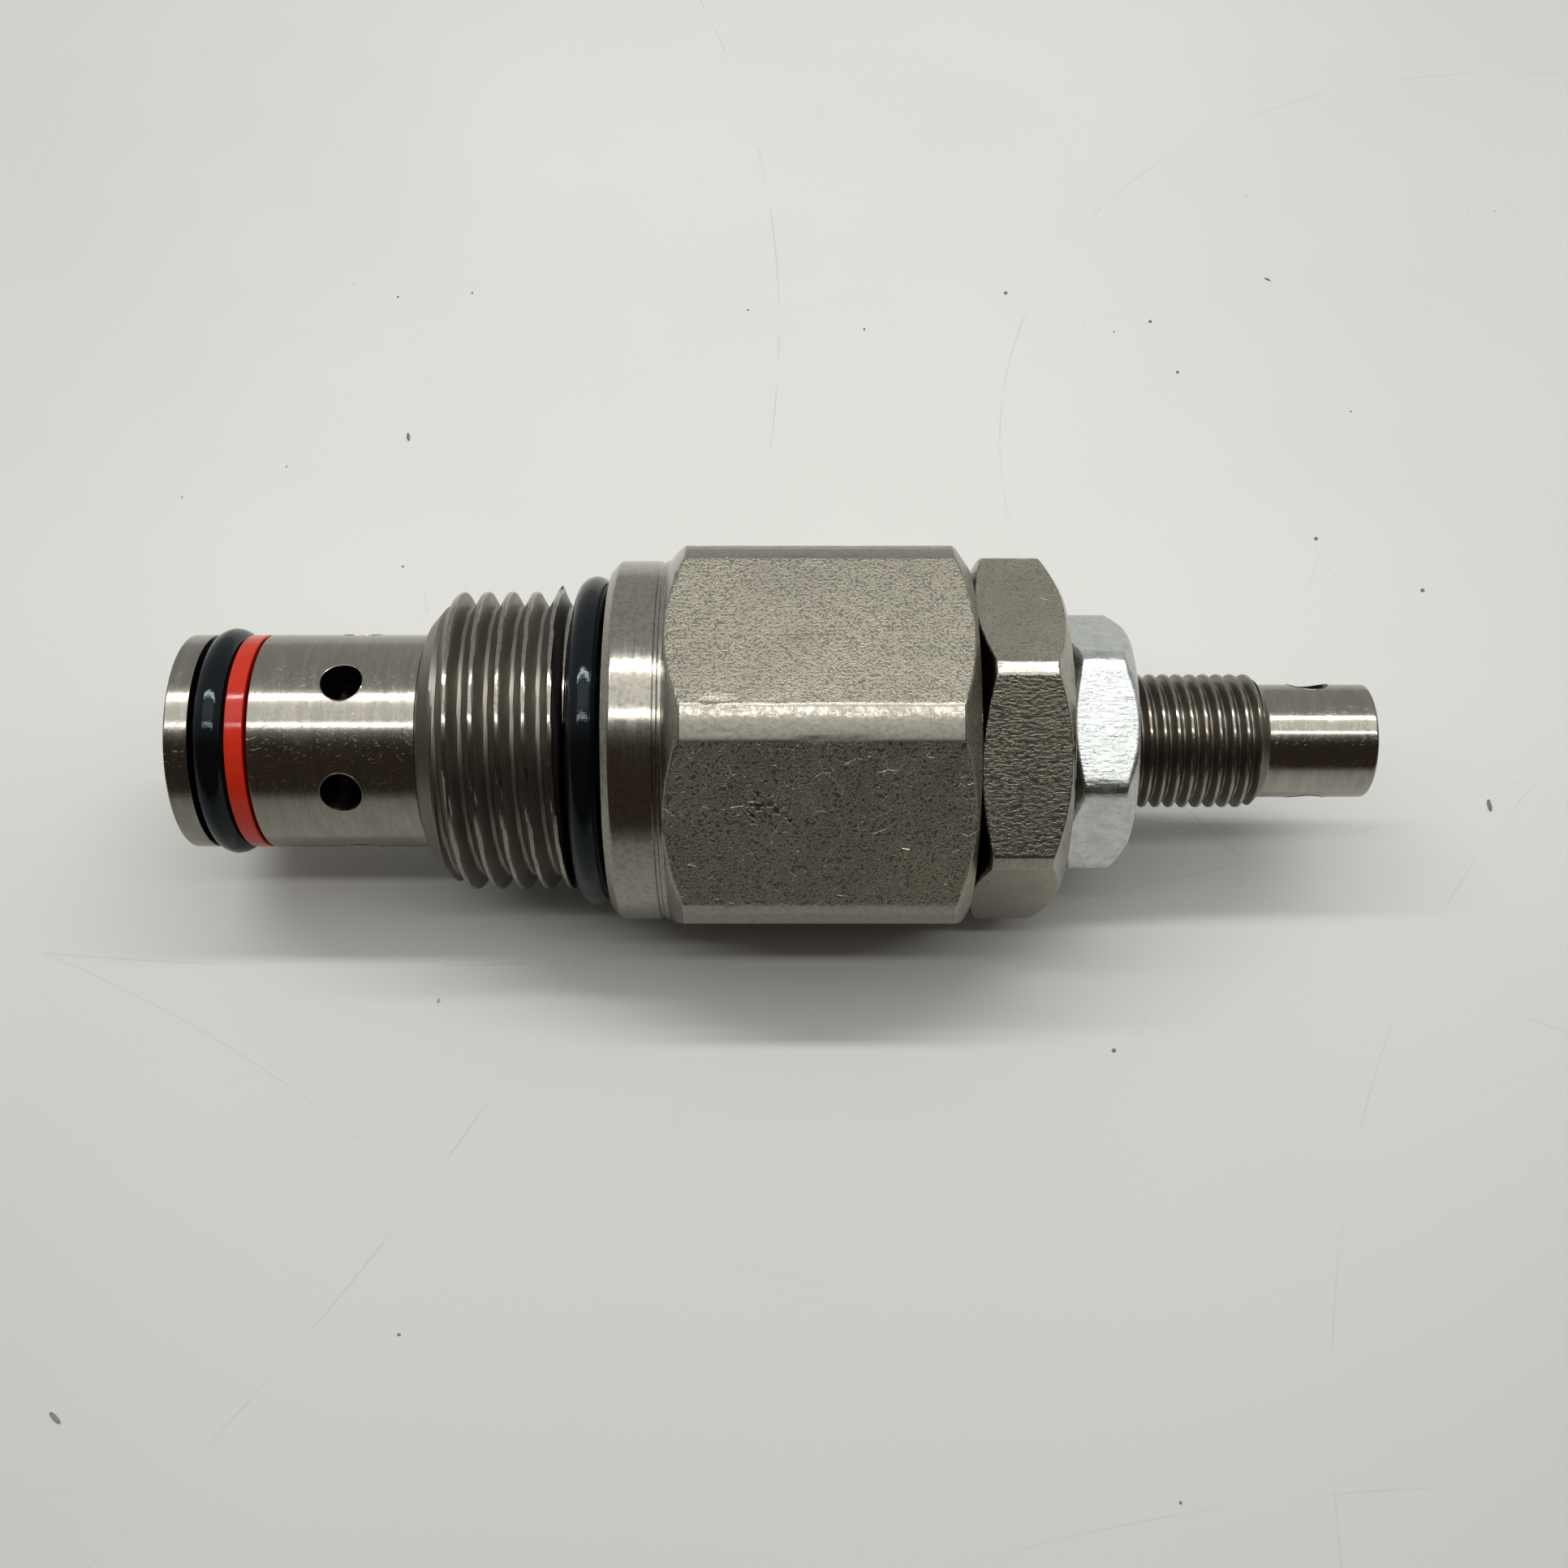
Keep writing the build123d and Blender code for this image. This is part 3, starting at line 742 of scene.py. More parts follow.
def white_plastic():
    """White filled plastic of the small inner backup ring."""
    f = Finish("white_plastic")
    t = f.tree
    cloud = ranged(t, noise(t, f.place, 1.1), 0.3, 0.7)
    tone = mixed(t, cloud, rgb((0.72, 0.71, 0.66)), rgb((0.8, 0.79, 0.75)))
    return f.set(Base_Color=tone, Roughness=ranged(t, noise(t, f.place, 4.0), 0.3, 0.7, 0.4, 0.55))


def lint():
    """Grey-brown crumbs of dirt."""
    f = Finish("lint")
    cloud = noise(f.tree, f.place, 2.0)
    tone = mixed(f.tree, ranged(f.tree, cloud, 0.3, 0.7), rgb((0.16, 0.15, 0.13)), rgb((0.26, 0.25, 0.22)))
    return f.set(Base_Color=tone, Roughness=0.8)


# Long curved scratches on the bench: centre x and y, radius, half width, strength
BENCH_ARCS = (
    (-160.0, 60.0, 172.0, 0.10, 0.34), (60.0, -190.0, 140.0, 0.09, 0.30), (95.0, 40.0, 62.0, 0.10, 0.28),
    (-20.0, 250.0, 262.0, 0.12, 0.20), (140.0, -60.0, 92.0, 0.09, 0.26), (-90.0, -120.0, 118.0, 0.08, 0.24),
)


def bench_top(base):
    """Pale satin laminate with faint scuffs and specks, with painted shade towards the front and the sides.
    """
    f = Finish("bench_laminate")
    t = f.tree
    cloud = noise(t, f.place, 0.02, 3.0)
    speck = ranged(t, noise(t, f.place, 0.42, 2.0), 0.795, 0.81)
    scuff = scratches(f, 0.045, 0.0022)
    fine_scuff = scratches(f, 0.11, 0.003)
    tone = mixed(t, ranged(t, cloud, 0.3, 0.7), rgb(base, 0.97), rgb(base))
    # Painted shade: the bench colour darkens towards the front, more so further in front, and a little
    # towards the sides.
    near = ranged(t, f.y, -75.0, 35.0, 0.77, 1.06)
    far = ranged(t, f.y, -170.0, -66.0, 0.40, 1.0)
    lit = times(t, near, far)
    side = ranged(t, maths(t, "ABSOLUTE", minus(t, f.x, MIDDLE_X)), 20.0, 90.0, 1.0, 0.90)
    lit = times(t, lit, side)
    shaded = add(t, "ShaderNodeVectorMath", {0: tone, "Scale": lit}, operation="SCALE").outputs[0]
    dark = rgb(base, 0.55)
    shaded = mixed(t, times(t, scuff, 0.22), shaded, dark)
    shaded = mixed(t, times(t, fine_scuff, 0.12), shaded, dark)
    shaded = mixed(t, times(t, speck, 0.7), shaded, rgb(base, 0.3))
    for x, y, radius, half_width, strength in BENCH_ARCS:
        reach = distance_from(f, (x, y, FLOOR_Z))
        off = maths(t, "ABSOLUTE", minus(t, reach, radius))
        line = ranged(t, off, half_width * 0.3, half_width, strength, 0.0)
        broken = ranged(t, noise(t, f.place, 0.09, 3.0), 0.46, 0.56)
        shaded = mixed(t, times(t, line, broken), shaded, dark)
    # Painted shade seen only in reflections: next to the valve the bench turns dark for glossy rays.
    mirrored = add(t, "ShaderNodeLightPath").outputs["Is Glossy Ray"]
    front = times(t, ranged(t, f.y, -3.0, 6.0, 0.36, 0.0), ranged(t, f.x, 31.0, 35.0, 1.0, 0.3))
    shaded = mixed(t, times(t, mirrored, front), shaded, rgb((0.0, 0.0, 0.0)))
    grain = noise(t, f.place, 3.0, 3.0)
    return f.set(
        Base_Color=shaded, Roughness=ranged(t, cloud, 0.3, 0.7, 0.42, 0.5),
        Normal=f.bump(grain, 0.06, 0.05), Specular_IOR_Level=0.3,
    )


# Geometry node trees

def new_tree(name, floats, ints=()):
    """A geometry node tree with named number inputs, one Geometry input and one output."""
    tree = bpy.data.node_groups.new(name, "GeometryNodeTree")
    tree.interface.new_socket("Geometry", in_out="INPUT", socket_type="NodeSocketGeometry")
    for label in floats:
        tree.interface.new_socket(label, in_out="INPUT", socket_type="NodeSocketFloat")
    for label in ints:
        tree.interface.new_socket(label, in_out="INPUT", socket_type="NodeSocketInt")
    tree.interface.new_socket("Material", in_out="INPUT", socket_type="NodeSocketMaterial")
    tree.interface.new_socket("Geometry", in_out="OUTPUT", socket_type="NodeSocketGeometry")
    return tree, add(tree, "NodeGroupInput").outputs


def position(tree):
    """The x, y and z of each point."""
    place = add(tree, "GeometryNodeInputPosition").outputs[0]
    return add(tree, "ShaderNodeSeparateXYZ", {0: place}).outputs[:3]


def circle(tree, sides, radius):
    """A circle about Z."""
    inputs = {"Resolution": sides, "Radius": radius}
    return add(tree, "GeometryNodeCurvePrimitiveCircle", inputs).outputs[0]


def swept(tree, path, outline, caps=False):
    """A closed outline carried along a path."""
    inputs = {0: path, 1: outline, "Fill Caps": caps}
    return add(tree, "GeometryNodeCurveToMesh", inputs).outputs[0]


def shifted(tree, geometry, x, rotation=(0.0, 0.0, 0.0)):
    """A geometry turned, then moved along X."""
    inputs = {0: geometry, "Translation": stretched(tree, x, 0.0, 0.0), "Rotation": rotation}
    return add(tree, "GeometryNodeTransform", inputs).outputs[0]


def close_tree(tree, geometry, material):
    """End a tree in Realize Instances and Set Material."""
    real = add(tree, "GeometryNodeRealizeInstances", {0: geometry})
    dressed = add(tree, "GeometryNodeSetMaterial", {0: real.outputs[0], "Material": material})
    add(tree, "NodeGroupOutput", {0: dressed.outputs[0]})


def run_tree(piece, tree, values):
    """Run a tree on a piece with the named values, and keep the result as its plain mesh."""
    modifier = piece.modifiers.new(tree.name, "NODES")
    modifier.node_group = tree
    for item in tree.interface.items_tree:
        if item.in_out == "INPUT" and item.name in values:
            modifier[item.identifier] = values[item.name]
    apply_modifiers(piece)


def thread_tree():
    """Cut a V thread into a blank: a rule lowers each point's radius by its place in the pitch."""
    floats = ("Outside Radius", "Pitch", "Depth", "Root Width", "Phase", "From", "To", "Softness")
    tree, given = new_tree("thread_cutter", floats)
    x, y, z = position(tree)
    radius = maths(tree, "SQRT", maths(tree, "MULTIPLY_ADD", z, z, times(tree, y, y)))
    angle = maths(tree, "ARCTAN2", y, z)
    turns = maths(tree, "DIVIDE", minus(tree, x, given["Phase"]), given["Pitch"])
    turns = maths(tree, "MULTIPLY_ADD", angle, 1 / TURN, turns)
    within = maths(tree, "FRACT", plus(tree, turns, 0.5))
    off_middle = maths(tree, "ABSOLUTE", minus(tree, within, 0.5))
    off_middle = times(tree, off_middle, given["Pitch"])
    slope = math.tan(THREAD_FLANK)
    half_root = times(tree, given["Root Width"], 0.5)
    mouth = maths(tree, "MULTIPLY_ADD", given["Depth"], slope, half_root)
    groove = maths(tree, "DIVIDE", minus(tree, mouth, off_middle), slope)
    groove = maths(tree, "SMOOTH_MIN", groove, given["Depth"], given["Softness"])
    groove = maths(tree, "SMOOTH_MAX", groove, 0.0, given["Softness"])
    cut = minus(tree, given["Outside Radius"], groove)
    lowered = maths(tree, "SMOOTH_MIN", radius, cut, times(tree, given["Softness"], 0.5))
    moved = stretched(
        tree, x, times(tree, lowered, maths(tree, "SINE", angle)),
        times(tree, lowered, maths(tree, "COSINE", angle)),
    )
    root_radius = minus(tree, given["Outside Radius"], given["Depth"])
    outside = maths(tree, "GREATER_THAN", radius, minus(tree, root_radius, 0.1 * MM))
    after = maths(tree, "GREATER_THAN", x, given["From"])
    before = maths(tree, "LESS_THAN", x, given["To"])
    chosen = times(tree, outside, times(tree, after, before))
    inputs = {0: given["Geometry"], "Selection": chosen, "Position": moved}
    shaped = add(tree, "GeometryNodeSetPosition", inputs)
    close_tree(tree, shaped.outputs[0], given["Material"])
    return tree


def spring_tree():
    """A helical spring of round wire along X."""
    floats = ("Wire Radius", "Mean Radius", "Turns", "Length", "Start")
    tree, given = new_tree("coil_spring", floats, ("Sides",))
    coil = add(tree, "GeometryNodeCurveSpiral", {
        "Resolution": 64, "Rotations": given["Turns"], "Start Radius": given["Mean Radius"],
        "End Radius": given["Mean Radius"], "Height": given["Length"],
    })
    wire = swept(tree, coil.outputs[0], circle(tree, given["Sides"], given["Wire Radius"]), True)
    close_tree(tree, shifted(tree, wire, given["Start"], ALONG_X), given["Material"])
    return tree


def seal_tree():
    """An O-ring about X with a low mould line round its inside and outside."""
    floats = ("Mean Radius", "Cord Radius", "Place", "Seam")
    tree, given = new_tree("o_ring", floats, ("Segments", "Sides"))
    ring = circle(tree, given["Segments"], given["Mean Radius"])
    cord = circle(tree, given["Sides"], given["Cord Radius"])
    turned = shifted(tree, swept(tree, ring, cord), 0.0, ALONG_X)
    seam_width = times(tree, given["Cord Radius"], 0.16)
    off = maths(tree, "DIVIDE", maths(tree, "ABSOLUTE", position(tree)[0]), seam_width)
    line = maths(tree, "MAXIMUM", minus(tree, 1.0, off), 0.0)
    height = times(tree, line, given["Seam"])
    normal = add(tree, "GeometryNodeInputNormal").outputs[0]
    raised = add(tree, "ShaderNodeVectorMath", {0: normal, "Scale": height}, operation="SCALE")
    seamed = add(tree, "GeometryNodeSetPosition", {0: turned, "Offset": raised.outputs[0]})
    close_tree(tree, shifted(tree, seamed.outputs[0], given["Place"]), given["Material"])
    return tree


def burr_tree():
    """Thin raised rims round a row of holes drilled into a cylinder."""
    floats = ("Hole Radius", "Cylinder Radius", "Burr Radius", "Place", "Turn")
    tree, given = new_tree("hole_burrs", floats, ("Count",))
    rim = circle(tree, 64, given["Hole Radius"])
    x, y, _ = position(tree)
    squared = times(tree, given["Cylinder Radius"], given["Cylinder Radius"])
    height = maths(tree, "SQRT", minus(tree, squared, times(tree, y, y)))
    inputs = {0: rim, "Position": stretched(tree, x, y, height)}
    saddle = add(tree, "GeometryNodeSetPosition", inputs).outputs[0]
    tube = swept(tree, saddle, circle(tree, 8, given["Burr Radius"]))
    points = add(tree, "GeometryNodeMeshLine", {"Count": given["Count"], "Offset": (0.0, 0.0, 0.0)})
    step = maths(tree, "DIVIDE", -TURN, given["Count"])
    number = add(tree, "GeometryNodeInputIndex").outputs[0]
    turn = maths(tree, "MULTIPLY_ADD", number, step, times(tree, given["Turn"], -1.0))
    copies = add(tree, "GeometryNodeInstanceOnPoints", {
        "Points": points.outputs[0], "Instance": tube, "Rotation": stretched(tree, turn, 0.0, 0.0),
    })
    close_tree(tree, shifted(tree, copies.outputs[0], given["Place"]), given["Material"])
    return tree


def empty_piece(name):
    """A piece with no mesh yet, for a tree to fill."""
    return placed(name, bpy.data.meshes.new(name))


TREES = {}


def tree_of(maker):
    """The one copy of a node tree, made when it is first asked for."""
    if maker not in TREES:
        TREES[maker] = maker()
    return TREES[maker]


MATERIALS = {}


def finish_of(key):
    """The one copy of a material, made when it is first asked for."""
    if key not in MATERIALS:
        c = bpy.context.scene.valve_colours
        nose_skin = bpy.context.scene.valve_nose.radius / MM
        screw_skin = bpy.context.scene.valve_screw.pin_radius / MM
        screw_crest = bpy.context.scene.valve_screw.thread_radius / MM
        thread_crest = bpy.context.scene.valve_body.thread_radius / MM
        makers = {
            # The nose's bores, groove and port holes below its outside radius get painted shade.
            "cage": lambda: turned_steel("nose_steel", c.turned, c.oil_and_shade, skin_radius=nose_skin),
            "body": lambda: hexagon_steel(
                "body_steel", c.flats, c.turned, c.oil_and_shade, grain_mm=0.26,
                crest_radius=thread_crest, front_x=RELIEF_START - 0.2,
            ),
            "bonnet": lambda: hexagon_steel("bonnet_steel", c.flats, c.turned, c.oil_and_shade, grain_mm=0.20),
            # The screw's key socket, cross hole and stop groove below the pin radius get painted shade, and
            # its thread flanks too.
            "screw": lambda: turned_steel(
                "screw_steel", c.turned, c.oil_and_shade, rough=0.13, ring_strength=0.25, per_mm=9.0,
                skin_radius=screw_skin, crest_radius=screw_crest,
            ),
            "zinc": lambda: zinc_plate(c.zinc),
            "rubber": lambda: rubber(c.rubber),
            "red": lambda: red_plastic(c.backup),
            "white": white_plastic,
            "inner": lambda: inner_steel([0.20, 0.19, 0.18]),
            "bench": lambda: bench_top(bpy.context.scene.valve_stage.bench),
            "lint": lint,
        }
        MATERIALS[key] = makers[key]()
    return MATERIALS[key]


# Piece shapes

def hexagon_shape(across_flats, turn, first_x, last_x, edge=0.05, chip=0.16, seed=3, coarse_sides=(),
                  shine_from=-9.0):
    """Cut a turned blank to a hexagon between two places, and mark its flats, bands and chips."""
    def shape(x, r, a):
        hexagon = hexagon_radius(a, across_flats, turn)
        inside = (x > first_x) & (x < last_x) & (r > across_flats / 2 - 1.2)
        y, z = r * np.sin(a), r * np.cos(a)
        gap = r - hexagon
        near = np.exp(-(gap / 0.22) ** 2)
        lumps = ripples(x, y, z, 1.1, seed) + 0.6 * ripples(x, y, z, 0.5, seed + 1)
        chips = chip * near * np.clip(lumps - 0.75, 0, 1)
        cut = soft_min(r, hexagon, edge) - chips
        flat = np.where(inside, np.clip(gap / 0.06, 0, 1), 0.0)
        band = np.where(inside & (r > 0.999 * r.max()), 1.0, 0.0)
        past_corner = np.degrees((a - turn) % SIXTH) - 30
        shine = np.clip((past_corner - shine_from) / 1.2, 0, 1)
        side = np.round((a - turn) / SIXTH).astype(int) % 6
        coarse = np.where(inside & np.isin(side, coarse_sides), 1.0, 0.0)
        marks = {"flat": flat, "band": band, "coarse": coarse, "shine": shine, "oil_and_shade": np.zeros_like(x)}
        return x, np.where(inside, cut, r), marks
    return shape


def raise_rims(name, burr_mm, key, body, slot, values):
    """Raise a thin burr of the given size round each hole of a row."""
    rims = empty_piece(name)
    sizes = {**values, "Burr Radius": burr_mm * MM, "Material": finish_of(key)}
    run_tree(rims, tree_of(burr_tree), sizes)
    settle(rims.data)
    finish_piece(rims, key, body, slot)


def build_cage(context):
    """The ported nose with its seal groove and the burrs of its ports."""
    s = context.scene.valve_nose
    outer, groove, mouth, bore = (v / MM for v in (s.radius, s.groove_radius, s.mouth, s.bore))
    front, rear = CAGE_LOW[0], CAGE_HIGH[0]
    groove_front, groove_rear = SEAL_GROOVE
    shoulder, shank = CAGE_SHANK
    corners = [
        (front, mouth + 0.3, 0.05, 0.5), (front, outer, 0.14, 0.4), (groove_front, outer, 0.08, 0.6),
        (groove_front, groove, 0.15, 0.5), (groove_rear, groove, 0.15, 0.6),
        (groove_rear, outer, 0.08, 0.35), (shoulder, outer, 0.05, 0.3), (shoulder, shank, 0, 0.5),
        (rear, shank, 0.1, 0.5), (rear, SPRING_SIDE_BORE, 0.1, 0.8),
        (SPRING_SIDE, SPRING_SIDE_BORE, 0.05, 0.5), (SPRING_SIDE, SEAT_STEP, 0.05, 0.5),
        (SEAT_BORE_END, SEAT_STEP, 0.05, 0.5), (SEAT_BORE_END, bore, 0, 0.8),
        (MOUTH_FLOOR, bore, 0.05, 0.3), (MOUTH_FLOOR, mouth, 0.05, 0.4), (front + 0.3, mouth, 0.05, 0.3),
    ]

    def shape(x, r, a):
        smear = ripples(x, r * np.sin(a), r * np.cos(a), 5.0, 21)
        # Painted shade in the groove, mouth and bores below the outside, plus a few real oil smears.
        painted_recess_shade = np.clip((outer - 0.15 - r) / 0.3, 0, 1)
        return x, r, {"oil_and_shade": np.clip(painted_recess_shade + 0.12 * np.clip(smear, 0, 1), 0, 1)}

    piece = turned_piece("nose_cage", outline_rows(corners), even_angles(240), shape)
    place, radius = s.port_place / MM, s.port_radius / MM
    count = s.port_count
    drill(piece, [(place, s.port_turn + k * TURN / count, radius, 3.0, outer + 1) for k in range(count)])
    finish_piece(piece, "cage", "housing", "cage_steel", "cage")
    raise_rims("port_burrs", 0.045, "cage", "housing", "cage_steel", {
        "Hole Radius": s.port_radius, "Cylinder Radius": s.radius,
        "Place": s.port_place, "Turn": s.port_turn, "Count": count,
    })


def raise_burr(piece, crest, seed=44):
    """Push up a small torn burr on the thread's last crest."""
    count = len(piece.data.vertices)
    flat = np.empty(count * 3)
    piece.data.vertices.foreach_get("co", flat)
    points = flat.reshape(-1, 3) / MM
    x, y, z = points.T
    r, a = np.hypot(y, z), np.arctan2(y, z)
    near = np.exp(-((x - BURR_PLACE) / 0.34) ** 2 - ((a - BURR_TURN) / 0.085) ** 2) * (r > crest - 0.5)
    torn = np.clip(0.55 + ripples(x, y, z, 0.42, seed), 0, 1.4)
    lift = 1 + 0.42 * near * torn / np.maximum(r, 1)
    points[:, 1] *= lift
    points[:, 2] *= lift
    piece.data.vertices.foreach_set("co", (points * MM).ravel())
    mark = piece.data.attributes["oil_and_shade"].data
    oil_and_shade = np.empty(count)
    mark.foreach_get("value", oil_and_shade)
    mark.foreach_set("value", np.clip(oil_and_shade + 1.2 * near * (torn > 0.5), 0, 1))


def build_body(context):
    """The adapter with its mounting thread, collar and large hexagon."""
    s = context.scene.valve_body
    thread, relief, collar = s.thread_radius / MM, s.relief_radius / MM, s.collar_radius / MM
    corner = s.corner_radius / MM
    front, rear = BODY_LOW[0], BODY_HIGH[0]
    thread_front, thread_rear = THREAD_RUN
    land_inner, land_outer = LAND_RADII
    line_front, line_rear, line_depth = COLLAR_LINE
    flats_front, flats_rear = BODY_FLATS
    spigot_floor, spigot_bore = SPIGOT_BORE
    spring_floor, spring_bore = SPRING_BORE
    corners = [
        (front, SHANK_BORE, 0.05, 0.5), (front, 8.0, 0.1, 0.3), (front + 0.3, 8.85, 0.1, 0.25),
        (thread_front, thread, 0.3, 0.095), (thread_rear, thread, 0.15, 0.12),
        (RELIEF_START, relief, 0.2, 0.5), (LAND_STEP, relief, 0.08, 0.5),
        (LAND_STEP, land_inner, 0, 0.1), (0, land_inner, 0, 0.1), (0, land_outer, 0.1, 0.2),
        (COLLAR_FRONT, collar, 0.15, 0.4), (line_front - 0.1, collar, 0.06, 0),
        (line_front, collar - line_depth, 0.04, 0), (line_rear, collar - line_depth, 0.04, 0),
        (line_rear + 0.1, collar, 0.06, 0), (COLLAR_REAR, collar + 0.02, 0.06, 0.12),
        (flats_front, corner, 0.12, 0.9), (flats_rear, corner, 0.12, 0.12),
        (rear, 13.0, 0.1, 0.6), (rear, spigot_bore, 0.1, 0.8), (spigot_floor, spigot_bore, 0.1, 0.8),
        (spigot_floor, spring_bore, 0.1, 1.2), (spring_floor, spring_bore, 0.1, 0.5),
        (spring_floor, SHANK_BORE, 0.05, 0.8),
    ]
    turn = 0.0
    cut = hexagon_shape(
        s.across_flats / MM, turn, line_rear + 0.15, rear + 0.1, chip=0.24, seed=5, shine_from=0.6
    )

    def shape(x, r, a):
        x, r, marks = cut(x, r, a)
        in_thread = (x > THREAD_CUT[0] + 0.8) & (x < 0) & (r > 9.0)
        smear = 0.5 + 0.5 * ripples(x, r * np.sin(a), r * np.cos(a), 4.0, 8)
        marks["oil_and_shade"] = np.where(in_thread, 0.25 * smear, 0.0)
        rear_cone = (x > flats_rear + 0.05) & (r > 12.9)
        marks["flat"] = np.where(rear_cone, 1.0, marks["flat"])
        return x, r, marks

    angles = hexagon_angles(turn, per_side=46, near_corner=22)
    piece = turned_piece("threaded_body", outline_rows(corners), angles, shape)
    run_tree(piece, tree_of(thread_tree), {
        "Outside Radius": s.thread_radius, "Pitch": s.thread_pitch, "Depth": s.thread_depth,
        "Root Width": 0.3 * MM, "Phase": s.thread_start, "From": THREAD_CUT[0] * MM,
        "To": THREAD_CUT[1] * MM, "Softness": 0.11 * MM, "Material": finish_of("body"),
    })
    raise_burr(piece, s.thread_radius / MM)
    settle(piece.data)
    finish_piece(piece, "body", "housing", "turned_steel", "valve_body")


def build_bonnet(context):
    """The smaller hexagon, with painted shade on the cone that faces the body."""
    s = context.scene.valve_bonnet
    corner = s.corner_radius / MM
    front, rear = BONNET_LOW[0], BONNET_HIGH[0]
    face = BODY_HIGH[0]
    groove_front, groove_rear, groove = BONNET_GROOVE
    flats_front, flats_rear = BONNET_FLATS
    bore_end, plunger_bore = PLUNGER_BORE
    corners = [
        (front, 6.05, 0.1, 0.5), (front, 9.2, 0.1, 0.3), (front + 0.8, SPIGOT, 0.1, 0.8),
        (groove_front, SPIGOT, 0.05, 0.5), (groove_front, groove, 0.1, 0.5),
        (groove_rear, groove, 0.1, 0.5), (groove_rear, SPIGOT, 0.05, 0.4),
        (face, SPIGOT, 0.05, 0.4), (face, 11.8, 0.08, 0.12), (flats_front, corner, 0.12, 0.35),
        (flats_rear, corner, 0.12, 0.12), (rear, 11.6, 0.12, 0.4), (rear, SCREW_BORE + 0.4, 0.05, 0.2),
        (rear - 0.4, SCREW_BORE, 0.05, 0.6), (bore_end, SCREW_BORE, 0, 0.3),
        (bore_end, plunger_bore, 0.05, 0.8), (front + 0.4, plunger_bore, 0.05, 0.3),
    ]
    cut = hexagon_shape(
        s.across_flats / MM, s.hexagon_turn, face - 0.01, rear + 0.1, seed=11, coarse_sides=(2, 5)
    )

    def shape(x, r, a):
        x, r, marks = cut(x, r, a)
        # Painted shade: the cone that faces the body and the surfaces ahead of the flats take the full oil
        # colour.
        marks["oil_and_shade"] = np.where((x < flats_front - 0.05) & (marks["flat"] < 0.5), 1.0, 0.0)
        return x, r, marks

    piece = turned_piece("bonnet_hexagon", outline_rows(corners), hexagon_angles(s.hexagon_turn), shape)
    finish_piece(piece, "bonnet", "housing", "bonnet_steel", "bonnet")


def build_nut(context):
    """The plated lock nut."""
    s = context.scene.valve_nut
    corner = s.corner_radius / MM
    front, rear = NUT_LOW[0], NUT_HIGH[0]
    flats_front, flats_rear = NUT_FLATS
    corners = [
        (front, 5.4, 0.1, 0.4), (front, 7.75, 0.15, 0.12), (flats_front, corner, 0.15, 0.3),
        (flats_rear, corner, 0.15, 0.12), (rear, 8.45, 0.2, 0.4), (rear, SCREW_BORE + 0.5, 0.08, 0.2),
        (rear - 0.5, SCREW_BORE, 0.05, 0.6), (front + 0.4, SCREW_BORE, 0.05, 0.3),
    ]
    shape = hexagon_shape(
        s.across_flats / MM, s.hexagon_turn, front - 0.1, rear + 0.1, edge=0.3, chip=0.05, seed=17
    )
    piece = turned_piece("lock_nut", outline_rows(corners), hexagon_angles(s.hexagon_turn), shape)
    finish_piece(piece, "zinc", "nut", "zinc_plate", "jam_nut")


def build_screw(context):
    """The adjusting screw with its thread, key socket and cross hole."""
    s = context.scene.valve_screw
    thread, pin = s.thread_radius / MM, s.pin_radius / MM
    front, rear = SCREW_LOW[0], SCREW_HIGH[0]
    across_key = s.socket / MM
    groove_front, groove_rear, groove = STOP_GROOVE
    thread_front, thread_rear = SCREW_THREAD_RUN
    floor = rear - SOCKET_DEPTH
    corners = [
        (front, 0, 0, 1.0), (front, SCREW_TAIL, 0.1, 0.3), (groove_front, SCREW_TAIL, 0, 0.3),
        (groove_front, groove, 0, 0.3), (groove_rear, groove, 0, 0.3), (groove_rear, SCREW_TAIL, 0, 0.3),
        (thread_front - 1, SCREW_TAIL, 0.1, 0.2), (thread_front, thread, 0.2, 0.055),
        (thread_rear, thread, 0.2, 0.06), (PIN_START, pin, 0.12, 0.4), (rear, pin, 0.22, 0.4),
        (rear, SOCKET_CORNER + 0.1, 0.05, 0.05), (rear - 0.15, SOCKET_CORNER, 0.05, 0.5),
        (floor, SOCKET_CORNER, 0.05, 0.4), (floor, 0, 0, 0),
    ]

    def shape(x, r, a):
        in_socket = (x > floor - 0.05) & (r < SOCKET_CORNER + 0.05) & (r > 0.5)
        key = np.minimum(hexagon_radius(a, across_key, 0.0), r)
        in_thread = (x > thread_front - 1) & (x < thread_rear + 0.5) & (r > SCREW_TAIL)
        smear = 0.5 + 0.5 * ripples(x, r * np.sin(a), r * np.cos(a), 3.0, 31)
        oil_and_shade = np.where(in_thread, 0.35 * smear, 0.0)
        return x, np.where(in_socket, key, r), {"oil_and_shade": oil_and_shade}

    rows = outline_rows(corners, closed=False)
    piece = turned_piece("adjusting_spindle", rows, even_angles(144), shape, closed=False)
    run_tree(piece, tree_of(thread_tree), {
        "Outside Radius": s.thread_radius, "Pitch": s.thread_pitch, "Depth": s.thread_depth,
        "Root Width": 0.12 * MM, "Phase": s.thread_start, "From": (thread_front - 0.9) * MM,
        "To": (thread_rear + 0.35) * MM,
        "Softness": 0.09 * MM, "Material": finish_of("screw"),
    })
    settle(piece.data)
    drill(piece, [(s.hole_place / MM, s.hole_turn, s.hole_radius / MM, -pin - 1, pin + 1)])
    finish_piece(piece, "screw", "screw", "screw_steel", "adjusting_screw")
    raise_rims("cross_hole_burrs", 0.04, "screw", "screw", "screw_steel", {
        "Hole Radius": s.hole_radius, "Cylinder Radius": s.pin_radius,
        "Place": s.hole_place, "Turn": s.hole_turn, "Count": 2,
    })


